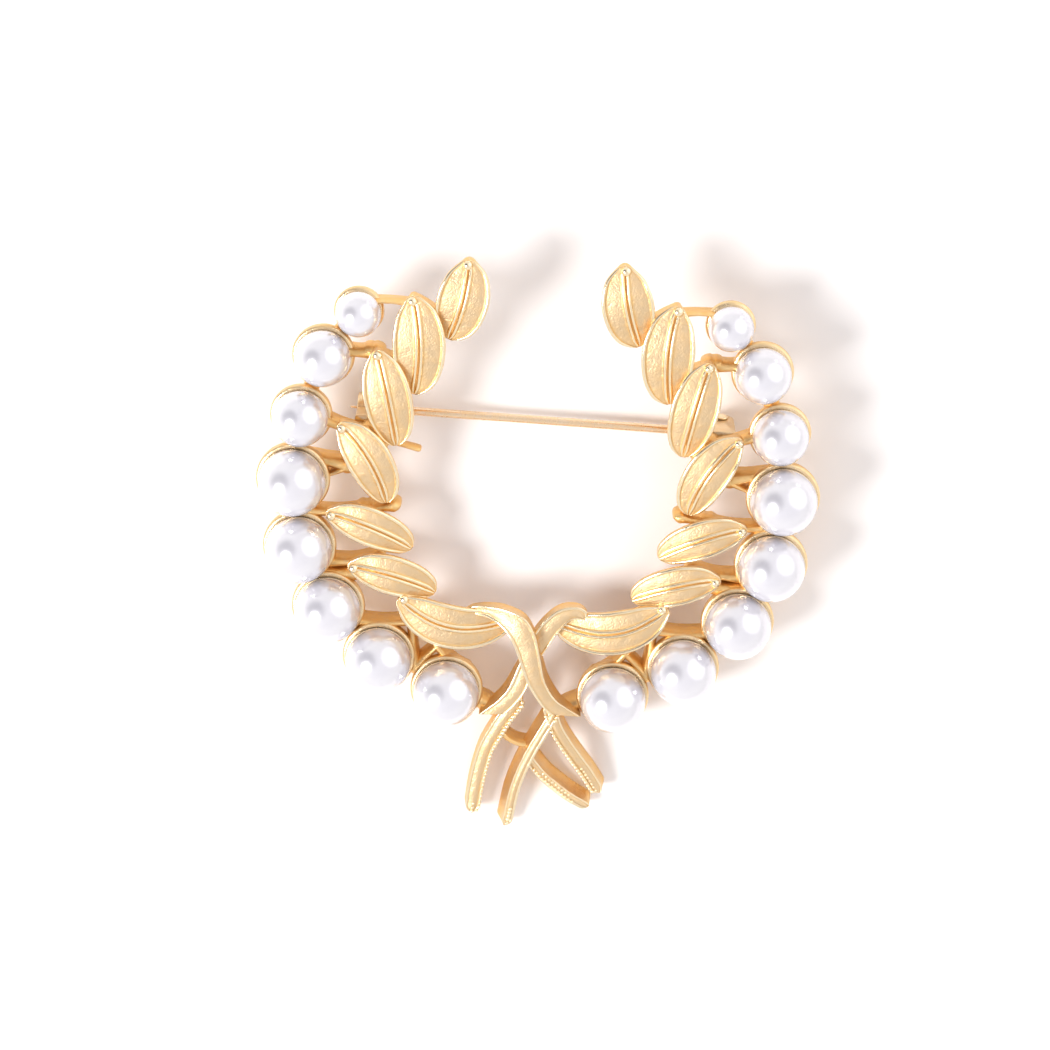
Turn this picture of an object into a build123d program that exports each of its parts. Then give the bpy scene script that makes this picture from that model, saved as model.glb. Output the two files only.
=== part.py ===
from build123d import *
from collections import namedtuple
from math import asin, atan2, cos, degrees, radians, sin
import os

# Wreath brooch: one soldered casting of leaves, pearl cups, twigs and a tied ribbon,
# sixteen glued pearls, and a pin stem that turns on a riveted hinge.
# The wreath is drawn flat on its back plane (z = 0, front up) and is tilted at the end,
# as it lies on a table on its ribbon tails, its hinge and its catch.
# All sizes are in millimetres.

# Pearls
PEARL_SMALL = 4.0
PEARL_MEDIUM = 5.0
PEARL_LARGE = 6.0
PEARL_GAP = 0.6
FIRST_PEARL_X = 7.6
FIRST_PEARL_Y = -15.4

# Cups that carry the pearls
CUP_SEAT_GAP = 0.05
CUP_WALL = 0.50
CUP_FLOOR = 0.40
CUP_LIP_DROP = 1.25
BRIDGE_WIDTH = 1.8
BRIDGE_HEIGHT = 1.2

# Bare stations past the top pearl, which place the topmost leaves
BARE_STEP = 5.0

# Leaves: the band that they fill inside the pearls, their width and their relief
LEAF_BAND = 9.0
LEAF_HALF_WIDTH = 2.25
LEAF_THICKNESS = 1.2
LEAF_TIP_HEIGHT = 3.1
LEAF_CREST_RISE = 0.6
LEAF_BASE_FALL = 0.7
RIM_WIDTH = 0.48
RIM_HEIGHT = 0.30
RIM_BEVEL = 0.14
RIB_WIDTH = 0.42
RIB_HEIGHT = 0.30
GROOVE_WIDTH = 0.16
GROOVE_DEPTH = 0.24
FIELD_SWELL = 0.08
LEAF_UNDERCUT = 0.45
LEAF_KNOB_RADIUS = 0.55

# Twigs that tie cups to leaves, as high as it takes to sink into the leaves' undersides
TWIG_WIDTH = 1.3
STUB_WIDTH = 0.7
LEAF_SEAT = 0.40
TWIG_HEIGHT = LEAF_TIP_HEIGHT - LEAF_THICKNESS + LEAF_SEAT

# Ribbon tied in a cross, of straps whose rims narrow where the strap does, that rises above
# the leaves' tips, and the twigs that reach from the lowest cups under its corners
STRAP_BEVEL = 0.11
STRAP_RIM_LIMIT = 0.35
BOW_HALF_WIDTH = 4.9
BOW_HALF_HEIGHT = 5.5
BOW_CENTRE_Y = -12.0
RIBBON_OVER_RISE = 1.6
RIBBON_UNDER_RISE = 0.5
RIBBON_DEPTH = 1.5
RIBBON_RIM = 0.36
RIBBON_HOLLOW = 0.16
RIBBON_FLANK = 0.08
CORNER_TWIG_WIDTH = 1.95
CORNER_TWIG_INSET = 0.7
CORNER_TWIG_REACH = 0.85

# Ribbon tails, which start below the crossing and a little lower than the leaves' tips
TAIL_SPREAD = 7.0
TAIL_DROP = 12.4
TAIL_START = 0.80
TAIL_TOP_Y = BOW_CENTRE_Y - TAIL_START * BOW_HALF_HEIGHT
TAIL_WIDTH = 1.05
TAIL_THICKNESS = 1.5
TAIL_SINK = 0.10
TAIL_RIM = 0.28
TAIL_HOLLOW = 0.12
TAIL_FLANK = 0.45
TAIL_END_SWELL = 0.06

# Pin stem, hinge and catch behind the wreath
AXIS_DEPTH = 3.7
STEM_RADIUS = 0.385
STEM_POINT_LENGTH = 4.4
STEM_POINT_RADIUS = 0.08
STEM_PAST_CATCH = 0.7
NECK_RADIUS = 0.60
NECK_LENGTH = 1.7
EYE_RADIUS = 0.95
EYE_WIDTH = 1.5
EYE_HOLE_CLEARANCE = 0.05
RIVET_RADIUS = 0.40
RIVET_HOLE_CLEARANCE = 0.03
RIVET_HEAD_RADIUS = 0.70
RIVET_HEAD_HEIGHT = 0.30
RIVET_HEAD_GAP = 0.03
EAR_GAP = 0.10
EAR_WIDTH = 0.60
EAR_RADIUS = 1.20
PLATE_THICKNESS = 0.60
PLATE_SINK = 0.30
PLATE_LENGTH = 2.8
CATCH_INNER_RADIUS = 0.95
CATCH_WALL = 0.45
CATCH_LENGTH = 2.6
CATCH_LIP_ANGLE = 32.0
CATCH_MOUTH_ANGLE = 75.0
CATCH_LEG_WIDTH = 1.0

Pearl = namedtuple("Pearl", "diameter gap bearing")
Leaf = namedtuple("Leaf", "tip_station tip_inset base_station base_inset bow width")
LeafSection = namedtuple("LeafSection", "along width rise relief")
Twig = namedtuple("Twig", "from_station from_inset to_station to_inset width")
BandSection = namedtuple("BandSection", "upper_x upper_y lower_x lower_y rise")
TailSection = namedtuple("TailSection", "across down rise")

# One side's pearls from the bow upwards: gap to the pearl before as a share of PEARL_GAP,
# and the bearing from that pearl in degrees from +X
PEARLS = (
    Pearl(PEARL_LARGE, 0.0, 0.0),
    Pearl(PEARL_LARGE, 1.55, 25.6),
    Pearl(PEARL_LARGE, 1.07, 45.1),
    Pearl(PEARL_LARGE, 0.48, 65.0),
    Pearl(PEARL_LARGE, 0.63, 84.1),
    Pearl(PEARL_MEDIUM, 0.63, 96.1),
    Pearl(PEARL_MEDIUM, 1.53, 108.8),
    Pearl(PEARL_SMALL, 0.87, 127.1),
)
BARE_BEARINGS = (150.0, 168.0)

# One side's leaves from the top down: stations count pearls from the bow, insets and bows are
# shares of LEAF_BAND and of the leaf's own length, widths are shares of LEAF_HALF_WIDTH
LEAVES = (
    Leaf(9.20, -0.20, 8.42, 0.57, 0.05, 0.98),
    Leaf(8.04, 0.06, 6.47, 0.92, 0.06, 1.00),
    Leaf(6.80, 0.35, 4.88, 0.97, 0.02, 0.92),
    Leaf(5.09, 0.37, 3.53, 0.90, 0.09, 0.86),
    Leaf(3.48, 0.30, 2.16, 1.03, 0.07, 0.77),
    Leaf(2.47, 0.37, 0.93, 0.89, 0.07, 0.79),
    Leaf(1.44, 0.60, -0.36, 0.96, -0.15, 0.90),
)
LEAF_SECTIONS = (
    LeafSection(0.03, 0.30, 0.05, 0.0),
    LeafSection(0.12, 0.62, 0.30, 0.8),
    LeafSection(0.33, 0.95, 0.85, 1.0),
    LeafSection(0.58, 1.00, 0.95, 1.0),
    LeafSection(0.82, 0.76, 0.45, 0.9),
    LeafSection(1.00, 0.38, 0.00, 0.3),
)

# Twigs of one side, insets as shares of LEAF_BAND and widths as shares of TWIG_WIDTH
TWIGS = (
    Twig(7.30, -0.03, 8.02, 0.12, 0.5),
    Twig(6.25, 0.05, 6.70, 0.38, 1.0),
    Twig(6.70, 0.40, 7.00, 0.64, 0.9),
    Twig(5.05, 0.15, 5.05, 0.42, 1.1),
    Twig(5.00, 0.40, 4.91, 0.90, 0.9),
    Twig(4.34, 0.18, 4.26, 0.53, 1.1),
    Twig(3.48, 0.12, 3.43, 0.85, 1.0),
    Twig(3.18, 0.20, 3.35, 0.36, 1.1),
    Twig(2.48, 0.05, 2.27, 0.38, 1.0),
    Twig(1.55, 0.08, 0.95, 0.45, 0.9),
    Twig(0.97, 0.22, 0.83, 0.45, 1.0),
    Twig(0.02, 0.26, 0.20, 0.54, 1.3),
)
STUB = Twig(4.91, 0.88, 4.87, 1.19, 1.0)

# The two ribbon bands, from behind a leaf down to a sharp corner: the one on top starts at the
# upper left, the one below it at the upper right. Edge points are shares of BOW_HALF_WIDTH
# towards the corner's side and of BOW_HALF_HEIGHT from the crossing, and rise runs from the
# leaf height (0) to the band's height at the crossing (1)
BANDS = {
    "over": (
        BandSection(-1.06, 0.95, -1.02, 0.82, -0.40),
        BandSection(-0.80, 0.97, -0.83, 0.83, 0.10),
        BandSection(-0.46, 0.87, -0.57, 0.69, 0.70),
        BandSection(-0.19, 0.75, -0.38, 0.50, 0.95),
        BandSection(0.02, 0.46, -0.23, 0.24, 1.00),
        BandSection(0.19, 0.12, -0.12, -0.02, 1.00),
        BandSection(0.32, -0.27, 0.02, -0.33, 0.85),
        BandSection(0.55, -0.60, 0.19, -0.62, 0.55),
        BandSection(0.76, -0.78, 0.28, -0.75, 0.38),
        BandSection(0.97, -0.94, 0.38, -0.88, 0.25),
    ),
    "under": (
        BandSection(-0.99, 1.01, -0.94, 0.86, 0.10),
        BandSection(-0.74, 1.00, -0.74, 0.79, 0.35),
        BandSection(-0.41, 0.90, -0.55, 0.60, 0.70),
        BandSection(-0.13, 0.65, -0.36, 0.37, 0.92),
        BandSection(0.10, 0.28, -0.19, 0.10, 1.00),
        BandSection(0.24, -0.10, -0.05, -0.21, 1.00),
        BandSection(0.40, -0.48, 0.09, -0.54, 0.85),
        BandSection(0.58, -0.71, 0.24, -0.76, 0.55),
        BandSection(0.76, -0.86, 0.34, -0.87, 0.38),
        BandSection(0.93, -0.99, 0.44, -0.97, 0.25),
    ),
}

# Tails as shares of TAIL_SPREAD across and TAIL_DROP down, from behind the ribbon to the free
# end, and rise runs from a tail on the back plane (0) to its height at the ribbon (1)
TAILS = {
    "outer_left": (
        TailSection(-0.16, 0.01, 0.96),
        TailSection(-0.29, 0.12, 0.94),
        TailSection(-0.40, 0.24, 0.80),
        TailSection(-0.51, 0.38, 0.60),
        TailSection(-0.59, 0.56, 0.36),
        TailSection(-0.64, 0.73, 0.16),
        TailSection(-0.67, 0.89, 0.00),
    ),
    "inner_left": (
        TailSection(0.36, 0.03, 0.96),
        TailSection(0.27, 0.13, 1.00),
        TailSection(0.17, 0.24, 1.00),
        TailSection(0.06, 0.37, 0.90),
        TailSection(-0.06, 0.54, 0.72),
        TailSection(-0.16, 0.74, 0.44),
        TailSection(-0.23, 1.00, 0.00),
    ),
    "inner_right": (
        TailSection(-0.42, 0.21, 0.64),
        TailSection(-0.30, 0.28, 0.60),
        TailSection(-0.15, 0.37, 0.48),
        TailSection(0.02, 0.48, 0.32),
        TailSection(0.22, 0.61, 0.20),
        TailSection(0.42, 0.71, 0.12),
        TailSection(0.60, 0.79, 0.04),
        TailSection(0.76, 0.84, 0.00),
    ),
    "outer_right": (
        TailSection(0.27, 0.05, 0.96),
        TailSection(0.37, 0.20, 0.90),
        TailSection(0.49, 0.32, 0.76),
        TailSection(0.64, 0.45, 0.56),
        TailSection(0.78, 0.57, 0.28),
        TailSection(0.91, 0.70, 0.00),
    ),
}

# Where the findings sit: station along the pearls and inset as a share of LEAF_BAND
HINGE_STATION = 4.83
HINGE_INSET = 0.58
CATCH_STATION = 5.10
CATCH_INSET = 0.66


def ring_stations():
    """Pearl centres of the right side from the bow upwards, then the bare stations."""
    points = [Vector(FIRST_PEARL_X, FIRST_PEARL_Y)]
    before = PEARLS[0]
    for pearl in PEARLS[1:]:
        step = (before.diameter + pearl.diameter) / 2 + pearl.gap * PEARL_GAP
        turn = radians(pearl.bearing)
        points.append(points[-1] + Vector(cos(turn), sin(turn)) * step)
        before = pearl
    for bearing in BARE_BEARINGS:
        turn = radians(bearing)
        points.append(points[-1] + Vector(cos(turn), sin(turn)) * BARE_STEP)
    return points


STATIONS = ring_stations()


def ring_normal(index):
    """Unit vector into the wreath at a station, square to the line of its neighbours."""
    before = STATIONS[max(index - 1, 0)]
    after = STATIONS[min(index + 1, len(STATIONS) - 1)]
    along = (after - before).normalized()
    return Vector(-along.Y, along.X)


def ring(station, inset, side):
    """Point at a fractional station, moved into the wreath by inset; side -1 mirrors it."""
    index = int(min(max(station, 0), len(STATIONS) - 2))
    share = station - index
    point = STATIONS[index] * (1 - share) + STATIONS[index + 1] * share
    inward = (ring_normal(index) * (1 - share) + ring_normal(index + 1) * share).normalized()
    point = point + inward * inset
    return Vector(point.X * side, point.Y)


def pearl_centre(index, side):
    """Centre of one pearl above the floor of its cup."""
    height = CUP_FLOOR + CUP_SEAT_GAP + PEARLS[index].diameter / 2
    return Vector(STATIONS[index].X * side, STATIONS[index].Y, height)


def loft_sections(sections):
    """Solid skinned smoothly through closed sections of corner points."""
    return Solid.make_loft([Wire.make_polygon(section) for section in sections])


def bar(start, end, width, bottom, top):
    """Square-edged bar between two plan points."""
    run = end - start
    middle = (start + end) * 0.5
    turn = degrees(atan2(run.Y, run.X))
    block = Box(run.length, width, top - bottom)
    return Pos(middle.X, middle.Y, (bottom + top) / 2) * Rot(0, 0, turn) * block


def cup(index, side):
    """Round-bottomed dish, cut flat at its foot and at its lip."""
    centre = pearl_centre(index, side)
    outer = PEARLS[index].diameter / 2 + CUP_SEAT_GAP + CUP_WALL
    foot = degrees(asin(max(-centre.Z / outer, -1.0)))
    lip = degrees(asin(-CUP_LIP_DROP / outer))
    return Pos(centre) * Sphere(outer, foot, lip, align=None)


def bowl(index, side):
    """Space that a pearl and its film of glue take out of the casting."""
    return Pos(pearl_centre(index, side)) * Sphere(PEARLS[index].diameter / 2 + CUP_SEAT_GAP)


def pearl(index, side):
    """One round pearl."""
    return Pos(pearl_centre(index, side)) * Sphere(PEARLS[index].diameter / 2)


def leaf_profile(half_width, relief):
    """Corners of half a leaf section as (across, up) from the rim's top: wall, rim, field, rib."""
    room = 2 * (RIM_WIDTH + RIB_WIDTH)
    fit = min(1.0, half_width / room)
    rim = RIM_WIDTH * fit
    bevel = RIM_BEVEL * fit
    groove = GROOVE_WIDTH / 2 * fit
    rib = RIB_WIDTH * fit
    field = -RIM_HEIGHT * relief
    rib_top = field + (FIELD_SWELL + RIB_HEIGHT) * relief
    return (
        (half_width - LEAF_UNDERCUT * fit, -LEAF_THICKNESS),
        (half_width, -RIM_HEIGHT),
        (half_width - bevel, 0.0),
        (half_width - rim + bevel, 0.0),
        (half_width - rim, field),
        (groove + rib, field + FIELD_SWELL * relief),
        (groove + rib - bevel, rib_top),
        (groove, rib_top),
        (0.0, rib_top - GROOVE_DEPTH * relief),
    )


def leaf(row, side):
    """Leaf with a raised rim and a double midrib, lofted along a bowed midline."""
    tip = ring(row.tip_station, row.tip_inset * LEAF_BAND, side)
    base = ring(row.base_station, row.base_inset * LEAF_BAND, side)
    chord = base - tip
    across = Vector(chord.Y, -chord.X) * side
    sections = []
    for mark in LEAF_SECTIONS:
        swing = 4 * mark.along * (1 - mark.along)
        middle = tip + chord * mark.along + across * (row.bow * swing)
        heading = (chord + across * (4 * row.bow * (1 - 2 * mark.along))).normalized()
        sideways = Vector(heading.Y, -heading.X)
        top = LEAF_TIP_HEIGHT + LEAF_CREST_RISE * mark.rise - LEAF_BASE_FALL * mark.along
        half = leaf_profile(LEAF_HALF_WIDTH * row.width * mark.width, mark.relief)
        right = [middle + sideways * x + Vector(0, 0, top + z) for x, z in half]
        left = [middle - sideways * x + Vector(0, 0, top + z) for x, z in half[:-1]]
        sections.append(right + left[::-1])
    return loft_sections(sections)


def leaf_knob(row, side):
    """Solid lump that closes the leaf at its tip."""
    tip = ring(row.tip_station, row.tip_inset * LEAF_BAND, side)
    base = ring(row.base_station, row.base_inset * LEAF_BAND, side)
    centre = tip + (base - tip).normalized() * LEAF_KNOB_RADIUS
    return Pos(centre.X, centre.Y, LEAF_TIP_HEIGHT - LEAF_KNOB_RADIUS) * Sphere(LEAF_KNOB_RADIUS)


def twig(row, side):
    """Plain bar on the back plane from a cup to a leaf."""
    start = ring(row.from_station, row.from_inset * LEAF_BAND, side)
    end = ring(row.to_station, row.to_inset * LEAF_BAND, side)
    return bar(start, end, TWIG_WIDTH * row.width, 0, TWIG_HEIGHT)


def corner_twig(marks, side):
    """Bar from the lowest cup to under a ribbon corner, which it follows."""
    start = ring(0, CORNER_TWIG_INSET, side)
    mark = marks[-2]
    lower = bow_point(mark.lower_x, mark.lower_y, side)
    upper = bow_point(mark.upper_x, mark.upper_y, side)
    end = start + ((lower + upper) * 0.5 - start) * CORNER_TWIG_REACH
    return bar(start, end, CORNER_TWIG_WIDTH, 0, TWIG_HEIGHT)


def strap_section(lower, upper, top, depth, rim, hollow, flank):
    """Corners of a ribbon section: upright lower side, raised rims, hollow face, sloping side."""
    side = (upper - lower).normalized()
    middle = (lower + upper) * 0.5
    rim = min(rim, STRAP_RIM_LIMIT * (upper - lower).length)
    corners = (
        (lower, -depth),
        (lower, -STRAP_BEVEL),
        (lower + side * STRAP_BEVEL, 0.0),
        (lower + side * rim, -hollow),
        (middle, -hollow / 2),
        (upper - side * rim, -hollow),
        (upper - side * STRAP_BEVEL, 0.0),
        (upper, -STRAP_BEVEL),
        (upper + side * flank, -depth),
    )
    return [point + Vector(0, 0, top + z) for point, z in corners]


def bow_point(across, up, side):
    """Point of the bow from shares of its half width and half height."""
    return Vector(side * across * BOW_HALF_WIDTH, BOW_CENTRE_Y + up * BOW_HALF_HEIGHT)


def ribbon_band(marks, side, crossing_rise):
    """One band of the tied ribbon from behind a leaf to its sharp lower corner."""
    sections = []
    for mark in marks:
        lower = bow_point(mark.lower_x, mark.lower_y, side)
        upper = bow_point(mark.upper_x, mark.upper_y, side)
        top = LEAF_TIP_HEIGHT + crossing_rise * mark.rise
        section = strap_section(
            lower, upper, top, RIBBON_DEPTH, RIBBON_RIM, RIBBON_HOLLOW, RIBBON_FLANK
        )
        sections.append(section)
    return loft_sections(sections)


def ribbon_tail(marks):
    """One tail: a hollow-faced strap along its middle line, and the rounded end that closes it."""
    middles = [Vector(mark.across * TAIL_SPREAD, TAIL_TOP_Y - mark.down * TAIL_DROP) for mark in marks]
    start_height = LEAF_TIP_HEIGHT - TAIL_SINK
    sections = []
    for index, mark in enumerate(marks):
        before = middles[max(index - 1, 0)]
        after = middles[min(index + 1, len(marks) - 1)]
        heading = (after - before).normalized()
        upward = Vector(heading.Y, -heading.X)
        if upward.Y < 0:
            upward = -upward
        lower = middles[index] - upward * (TAIL_WIDTH / 2)
        upper = middles[index] + upward * (TAIL_WIDTH / 2)
        top = TAIL_THICKNESS + (start_height - TAIL_THICKNESS) * mark.rise
        section = strap_section(
            lower, upper, top, TAIL_THICKNESS, TAIL_RIM, TAIL_HOLLOW, TAIL_FLANK
        )
        sections.append(section)
    end_centre = middles[-1] + upward * (TAIL_FLANK / 2)
    end_height = TAIL_THICKNESS - STRAP_BEVEL
    end_level = top - TAIL_THICKNESS + end_height / 2
    end = Cylinder((TAIL_WIDTH + TAIL_FLANK) / 2 + TAIL_END_SWELL, end_height)
    return loft_sections(sections), Pos(end_centre.X, end_centre.Y, end_level) * end


HINGE = ring(HINGE_STATION, HINGE_INSET * LEAF_BAND, 1)
CATCH = ring(CATCH_STATION, CATCH_INSET * LEAF_BAND, -1)
STEM_RUN = CATCH - HINGE
# Frame of the pin: origin on the hinge axis, X towards the catch, Y along the rivet
PIN_FRAME = Location((HINGE.X, HINGE.Y, -AXIS_DEPTH), (0, 0, degrees(atan2(STEM_RUN.Y, STEM_RUN.X))))


def across_cylinder(radius, length, x=0, y=0, z=0):
    """Cylinder along the rivet's direction, in the pin's frame."""
    return Pos(x, y, z) * Rot(90, 0, 0) * Cylinder(radius, length)


def hinge_bracket():
    """Plate soldered under the twig, with two ears drilled for the rivet."""
    reach = EYE_WIDTH / 2 + EAR_GAP + EAR_WIDTH
    plate_top = AXIS_DEPTH + PLATE_SINK
    plate = Pos(0, 0, plate_top - PLATE_THICKNESS / 2) * Box(PLATE_LENGTH, 2 * reach, PLATE_THICKNESS)
    bracket = plate
    for end in (-1, 1):
        y = end * (reach - EAR_WIDTH / 2)
        post = Pos(0, y, plate_top / 2) * Box(2 * EAR_RADIUS, EAR_WIDTH, plate_top)
        bracket = bracket + post + across_cylinder(EAR_RADIUS, EAR_WIDTH, y=y)
    bracket = bracket - across_cylinder(RIVET_RADIUS + RIVET_HOLE_CLEARANCE, 4 * reach)
    return PIN_FRAME * bracket


def catch():
    """Hook round the stem, open away from the wreath, on a leg under the twig."""
    x = STEM_RUN.length
    outer = CATCH_INNER_RADIUS + CATCH_WALL
    leg_height = AXIS_DEPTH + PLATE_SINK
    hook = Rot(0, 90, 0) * Cylinder(outer, CATCH_LENGTH)
    leg = Pos(0, 0, leg_height / 2) * Box(CATCH_LENGTH, CATCH_LEG_WIDTH, leg_height)
    hook = hook + leg - Rot(0, 90, 0) * Cylinder(CATCH_INNER_RADIUS, 2 * CATCH_LENGTH)
    reach = 2 * outer
    mouth = Wire.make_polygon(
        [
            Vector(0, 0, 0),
            Vector(0, -sin(radians(CATCH_LIP_ANGLE)), -cos(radians(CATCH_LIP_ANGLE))) * reach,
            Vector(0, 0, -reach),
            Vector(0, sin(radians(CATCH_MOUTH_ANGLE)), -cos(radians(CATCH_MOUTH_ANGLE))) * reach,
        ]
    )
    wedge = extrude(Face(mouth), amount=CATCH_LENGTH, dir=(1, 0, 0), both=True)
    return PIN_FRAME * Pos(x, 0, 0) * (hook - wedge)


def rivet():
    """Hinge pin with a head outside each ear."""
    reach = EYE_WIDTH / 2 + EAR_GAP + EAR_WIDTH + RIVET_HEAD_GAP
    body = across_cylinder(RIVET_RADIUS, 2 * reach + RIVET_HEAD_HEIGHT)
    for end in (-1, 1):
        y = end * (reach + RIVET_HEAD_HEIGHT / 2)
        body = body + across_cylinder(RIVET_HEAD_RADIUS, RIVET_HEAD_HEIGHT, y=y)
    return PIN_FRAME * body


def pin_stem():
    """Eye drilled for the rivet, a neck, a shank of wire, and a sharpened point."""
    shank_length = STEM_RUN.length + CATCH_LENGTH / 2 + STEM_PAST_CATCH - STEM_POINT_LENGTH
    eye = across_cylinder(EYE_RADIUS, EYE_WIDTH)
    on_end = (Align.CENTER, Align.CENTER, Align.MIN)
    shank = Cylinder(STEM_RADIUS, shank_length, align=on_end)
    point = Cone(STEM_RADIUS, STEM_POINT_RADIUS, STEM_POINT_LENGTH, align=on_end)
    neck = Cylinder(NECK_RADIUS, NECK_LENGTH, align=on_end)
    stem = eye + Rot(0, 90, 0) * (neck + shank + Pos(0, 0, shank_length) * point)
    stem = stem - across_cylinder(RIVET_RADIUS + EYE_HOLE_CLEARANCE, 2 * EYE_WIDTH)
    return PIN_FRAME * stem


def ribbon():
    """The two crossed bands and the four tails, each with its rounded end."""
    pieces = [
        ribbon_band(BANDS["over"], 1, RIBBON_OVER_RISE),
        ribbon_band(BANDS["under"], -1, RIBBON_UNDER_RISE),
    ]
    for marks in TAILS.values():
        pieces.extend(ribbon_tail(marks))
    return pieces


def casting():
    """Wreath with the pearls' bowls cut out, and the ribbon soldered on as one solid."""
    pieces = []
    for side in (-1, 1):
        for index in range(len(PEARLS)):
            pieces.append(cup(index, side))
        for index in range(len(PEARLS) - 1):
            ends = [ring(index + step, 0, side) for step in (0, 1)]
            pieces.append(bar(*ends, BRIDGE_WIDTH, 0, BRIDGE_HEIGHT))
        for row in LEAVES:
            pieces.append(leaf(row, side))
            pieces.append(leaf_knob(row, side))
        for row in TWIGS:
            pieces.append(twig(row, side))
    stub_start = ring(STUB.from_station, STUB.from_inset * LEAF_BAND, -1)
    stub_end = ring(STUB.to_station, STUB.to_inset * LEAF_BAND, -1)
    pieces.append(bar(stub_start, stub_end, STUB_WIDTH, 0, TWIG_HEIGHT))
    pieces.append(corner_twig(BANDS["over"], 1))
    pieces.append(corner_twig(BANDS["under"], -1))
    pieces.append(hinge_bracket())
    pieces.append(catch())
    bowls = [bowl(index, side) for side in (-1, 1) for index in range(len(PEARLS))]
    halves = Compound(pieces[0].fuse(*pieces[1:]).cut(*bowls).solids())
    return halves.fuse(*ribbon())


def lay_down(nodes):
    """Tilt the brooch as it rests and put the middle of its foot on the origin."""
    tail_down = max(marks[-1].down for marks in TAILS.values())
    tail_end = (TAIL_WIDTH + TAIL_FLANK) / 2 + TAIL_END_SWELL
    tail_foot = TAIL_TOP_Y - tail_down * TAIL_DROP - tail_end
    hinge_foot = HINGE.Y - EYE_WIDTH / 2 - EAR_GAP - EAR_WIDTH
    tilt = degrees(atan2(AXIS_DEPTH + EAR_RADIUS, hinge_foot - tail_foot))
    turned = {name: Rot(tilt, 0, 0) * node for name, node in nodes.items()}
    box = Compound(children=[Compound(solid.solids()) for solid in turned.values()]).bounding_box()
    drop = Pos(-box.center().X, -box.center().Y, -box.min.Z)
    return {name: drop * node for name, node in turned.items()}, drop * Rot(tilt, 0, 0)


nodes = {"cast_frame": casting(), "hinge_rivet": rivet(), "pin_stem": pin_stem()}
for side, word in ((-1, "left"), (1, "right")):
    for index in range(len(PEARLS)):
        nodes[f"pearl_{word}_{index + 1}"] = pearl(index, side)
nodes, resting = lay_down(nodes)

os.makedirs("parts", exist_ok=True)
for name, node in nodes.items():
    export_step(node, f"parts/{name}.step")
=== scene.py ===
import math

import bpy
import numpy as np
from mathutils import Matrix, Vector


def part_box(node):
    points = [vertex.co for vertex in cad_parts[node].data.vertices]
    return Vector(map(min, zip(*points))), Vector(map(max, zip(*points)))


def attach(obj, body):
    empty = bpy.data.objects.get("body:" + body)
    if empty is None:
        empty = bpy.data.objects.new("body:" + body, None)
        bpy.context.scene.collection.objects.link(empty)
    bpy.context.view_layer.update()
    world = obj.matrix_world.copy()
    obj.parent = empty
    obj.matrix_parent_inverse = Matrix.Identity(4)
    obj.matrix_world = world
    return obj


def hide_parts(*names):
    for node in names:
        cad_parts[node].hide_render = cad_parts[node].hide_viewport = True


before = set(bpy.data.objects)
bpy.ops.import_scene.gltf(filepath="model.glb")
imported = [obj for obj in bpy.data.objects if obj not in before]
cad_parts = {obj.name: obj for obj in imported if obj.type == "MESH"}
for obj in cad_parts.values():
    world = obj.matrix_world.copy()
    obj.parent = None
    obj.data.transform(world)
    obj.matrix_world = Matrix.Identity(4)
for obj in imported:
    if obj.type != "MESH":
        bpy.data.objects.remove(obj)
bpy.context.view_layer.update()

# Camera
# It looks down on the brooch from a little towards its open top, through a long lens,
# rolled slightly clockwise, as the photograph was taken.
CAMERA_TARGET = np.array([-0.00102, 0.00236, 0.00395])
CAMERA_DISTANCE = 0.255
CAMERA_LEAN = math.radians(12.34)
CAMERA_ROLL = math.radians(2.28)
CAMERA_LENS = 96.69
CAMERA_NEAR = 0.01

into_scene = bpy.context.scene.collection.objects.link
towards_camera = np.array([0.0, math.sin(CAMERA_LEAN), math.cos(CAMERA_LEAN)])
level_right = np.array([1.0, 0.0, 0.0])
level_up = np.cross(towards_camera, level_right)
picture_right = math.cos(CAMERA_ROLL) * level_right + math.sin(CAMERA_ROLL) * level_up
picture_up = math.cos(CAMERA_ROLL) * level_up - math.sin(CAMERA_ROLL) * level_right


def looking(right, up, back, place):
    """Matrix of a camera or lamp whose own X, Y and Z axes are right, up and back."""
    matrix = np.identity(4)
    matrix[:3] = np.stack([right, up, back, place], axis=1)
    return Matrix(matrix)


camera_data = bpy.data.cameras.new("camera")
camera_data.lens = CAMERA_LENS
camera_data.clip_start = CAMERA_NEAR
camera = bpy.data.objects.new("camera", camera_data)
camera.matrix_world = looking(
    picture_right, picture_up, towards_camera, CAMERA_TARGET + CAMERA_DISTANCE * towards_camera
)
into_scene(camera)
bpy.context.scene.camera = camera
bpy.context.scene.view_settings.view_transform = "Standard"

# Floor and lights
# A white card lies under the brooch. A soft lamp stands on the left, a broad weak one on
# the right and a small one low at the back, inside a white tent that has a dark opening
# high on the left.
FLOOR_SIZE = 3.0
FLOOR_COLOUR = (0.94, 0.915, 0.90, 1.0)
FLOOR_ROUGHNESS = 0.85
LAMP_DISTANCE = 0.60
# Name, degrees off the camera's line, bearing round the picture, size in metres and watts
LAMPS = (
    ("key lamp", 46.0, 207.0, 0.24, 3.3),
    ("fill lamp", 49.0, 17.0, 0.78, 0.95),
    ("small lamp", 84.0, 50.0, 0.12, 0.25),
)
TENT_WALL = (1.0, 0.99, 0.985, 1.0)
TENT_ROOF = (0.84, 0.83, 0.86, 1.0)
WALL_UP_TO = 0.40
ROOF_FROM = 0.80
TENT_OPENING = (0.10, 0.09, 0.13, 1.0)
OPENING_TURN = 40.0
OPENING_BEARING = 182.0
# Cosines of the angles off its middle where the opening ends and where it is full
OPENING_EDGE = {"From Min": math.cos(math.radians(44)), "From Max": math.cos(math.radians(14))}


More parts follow.
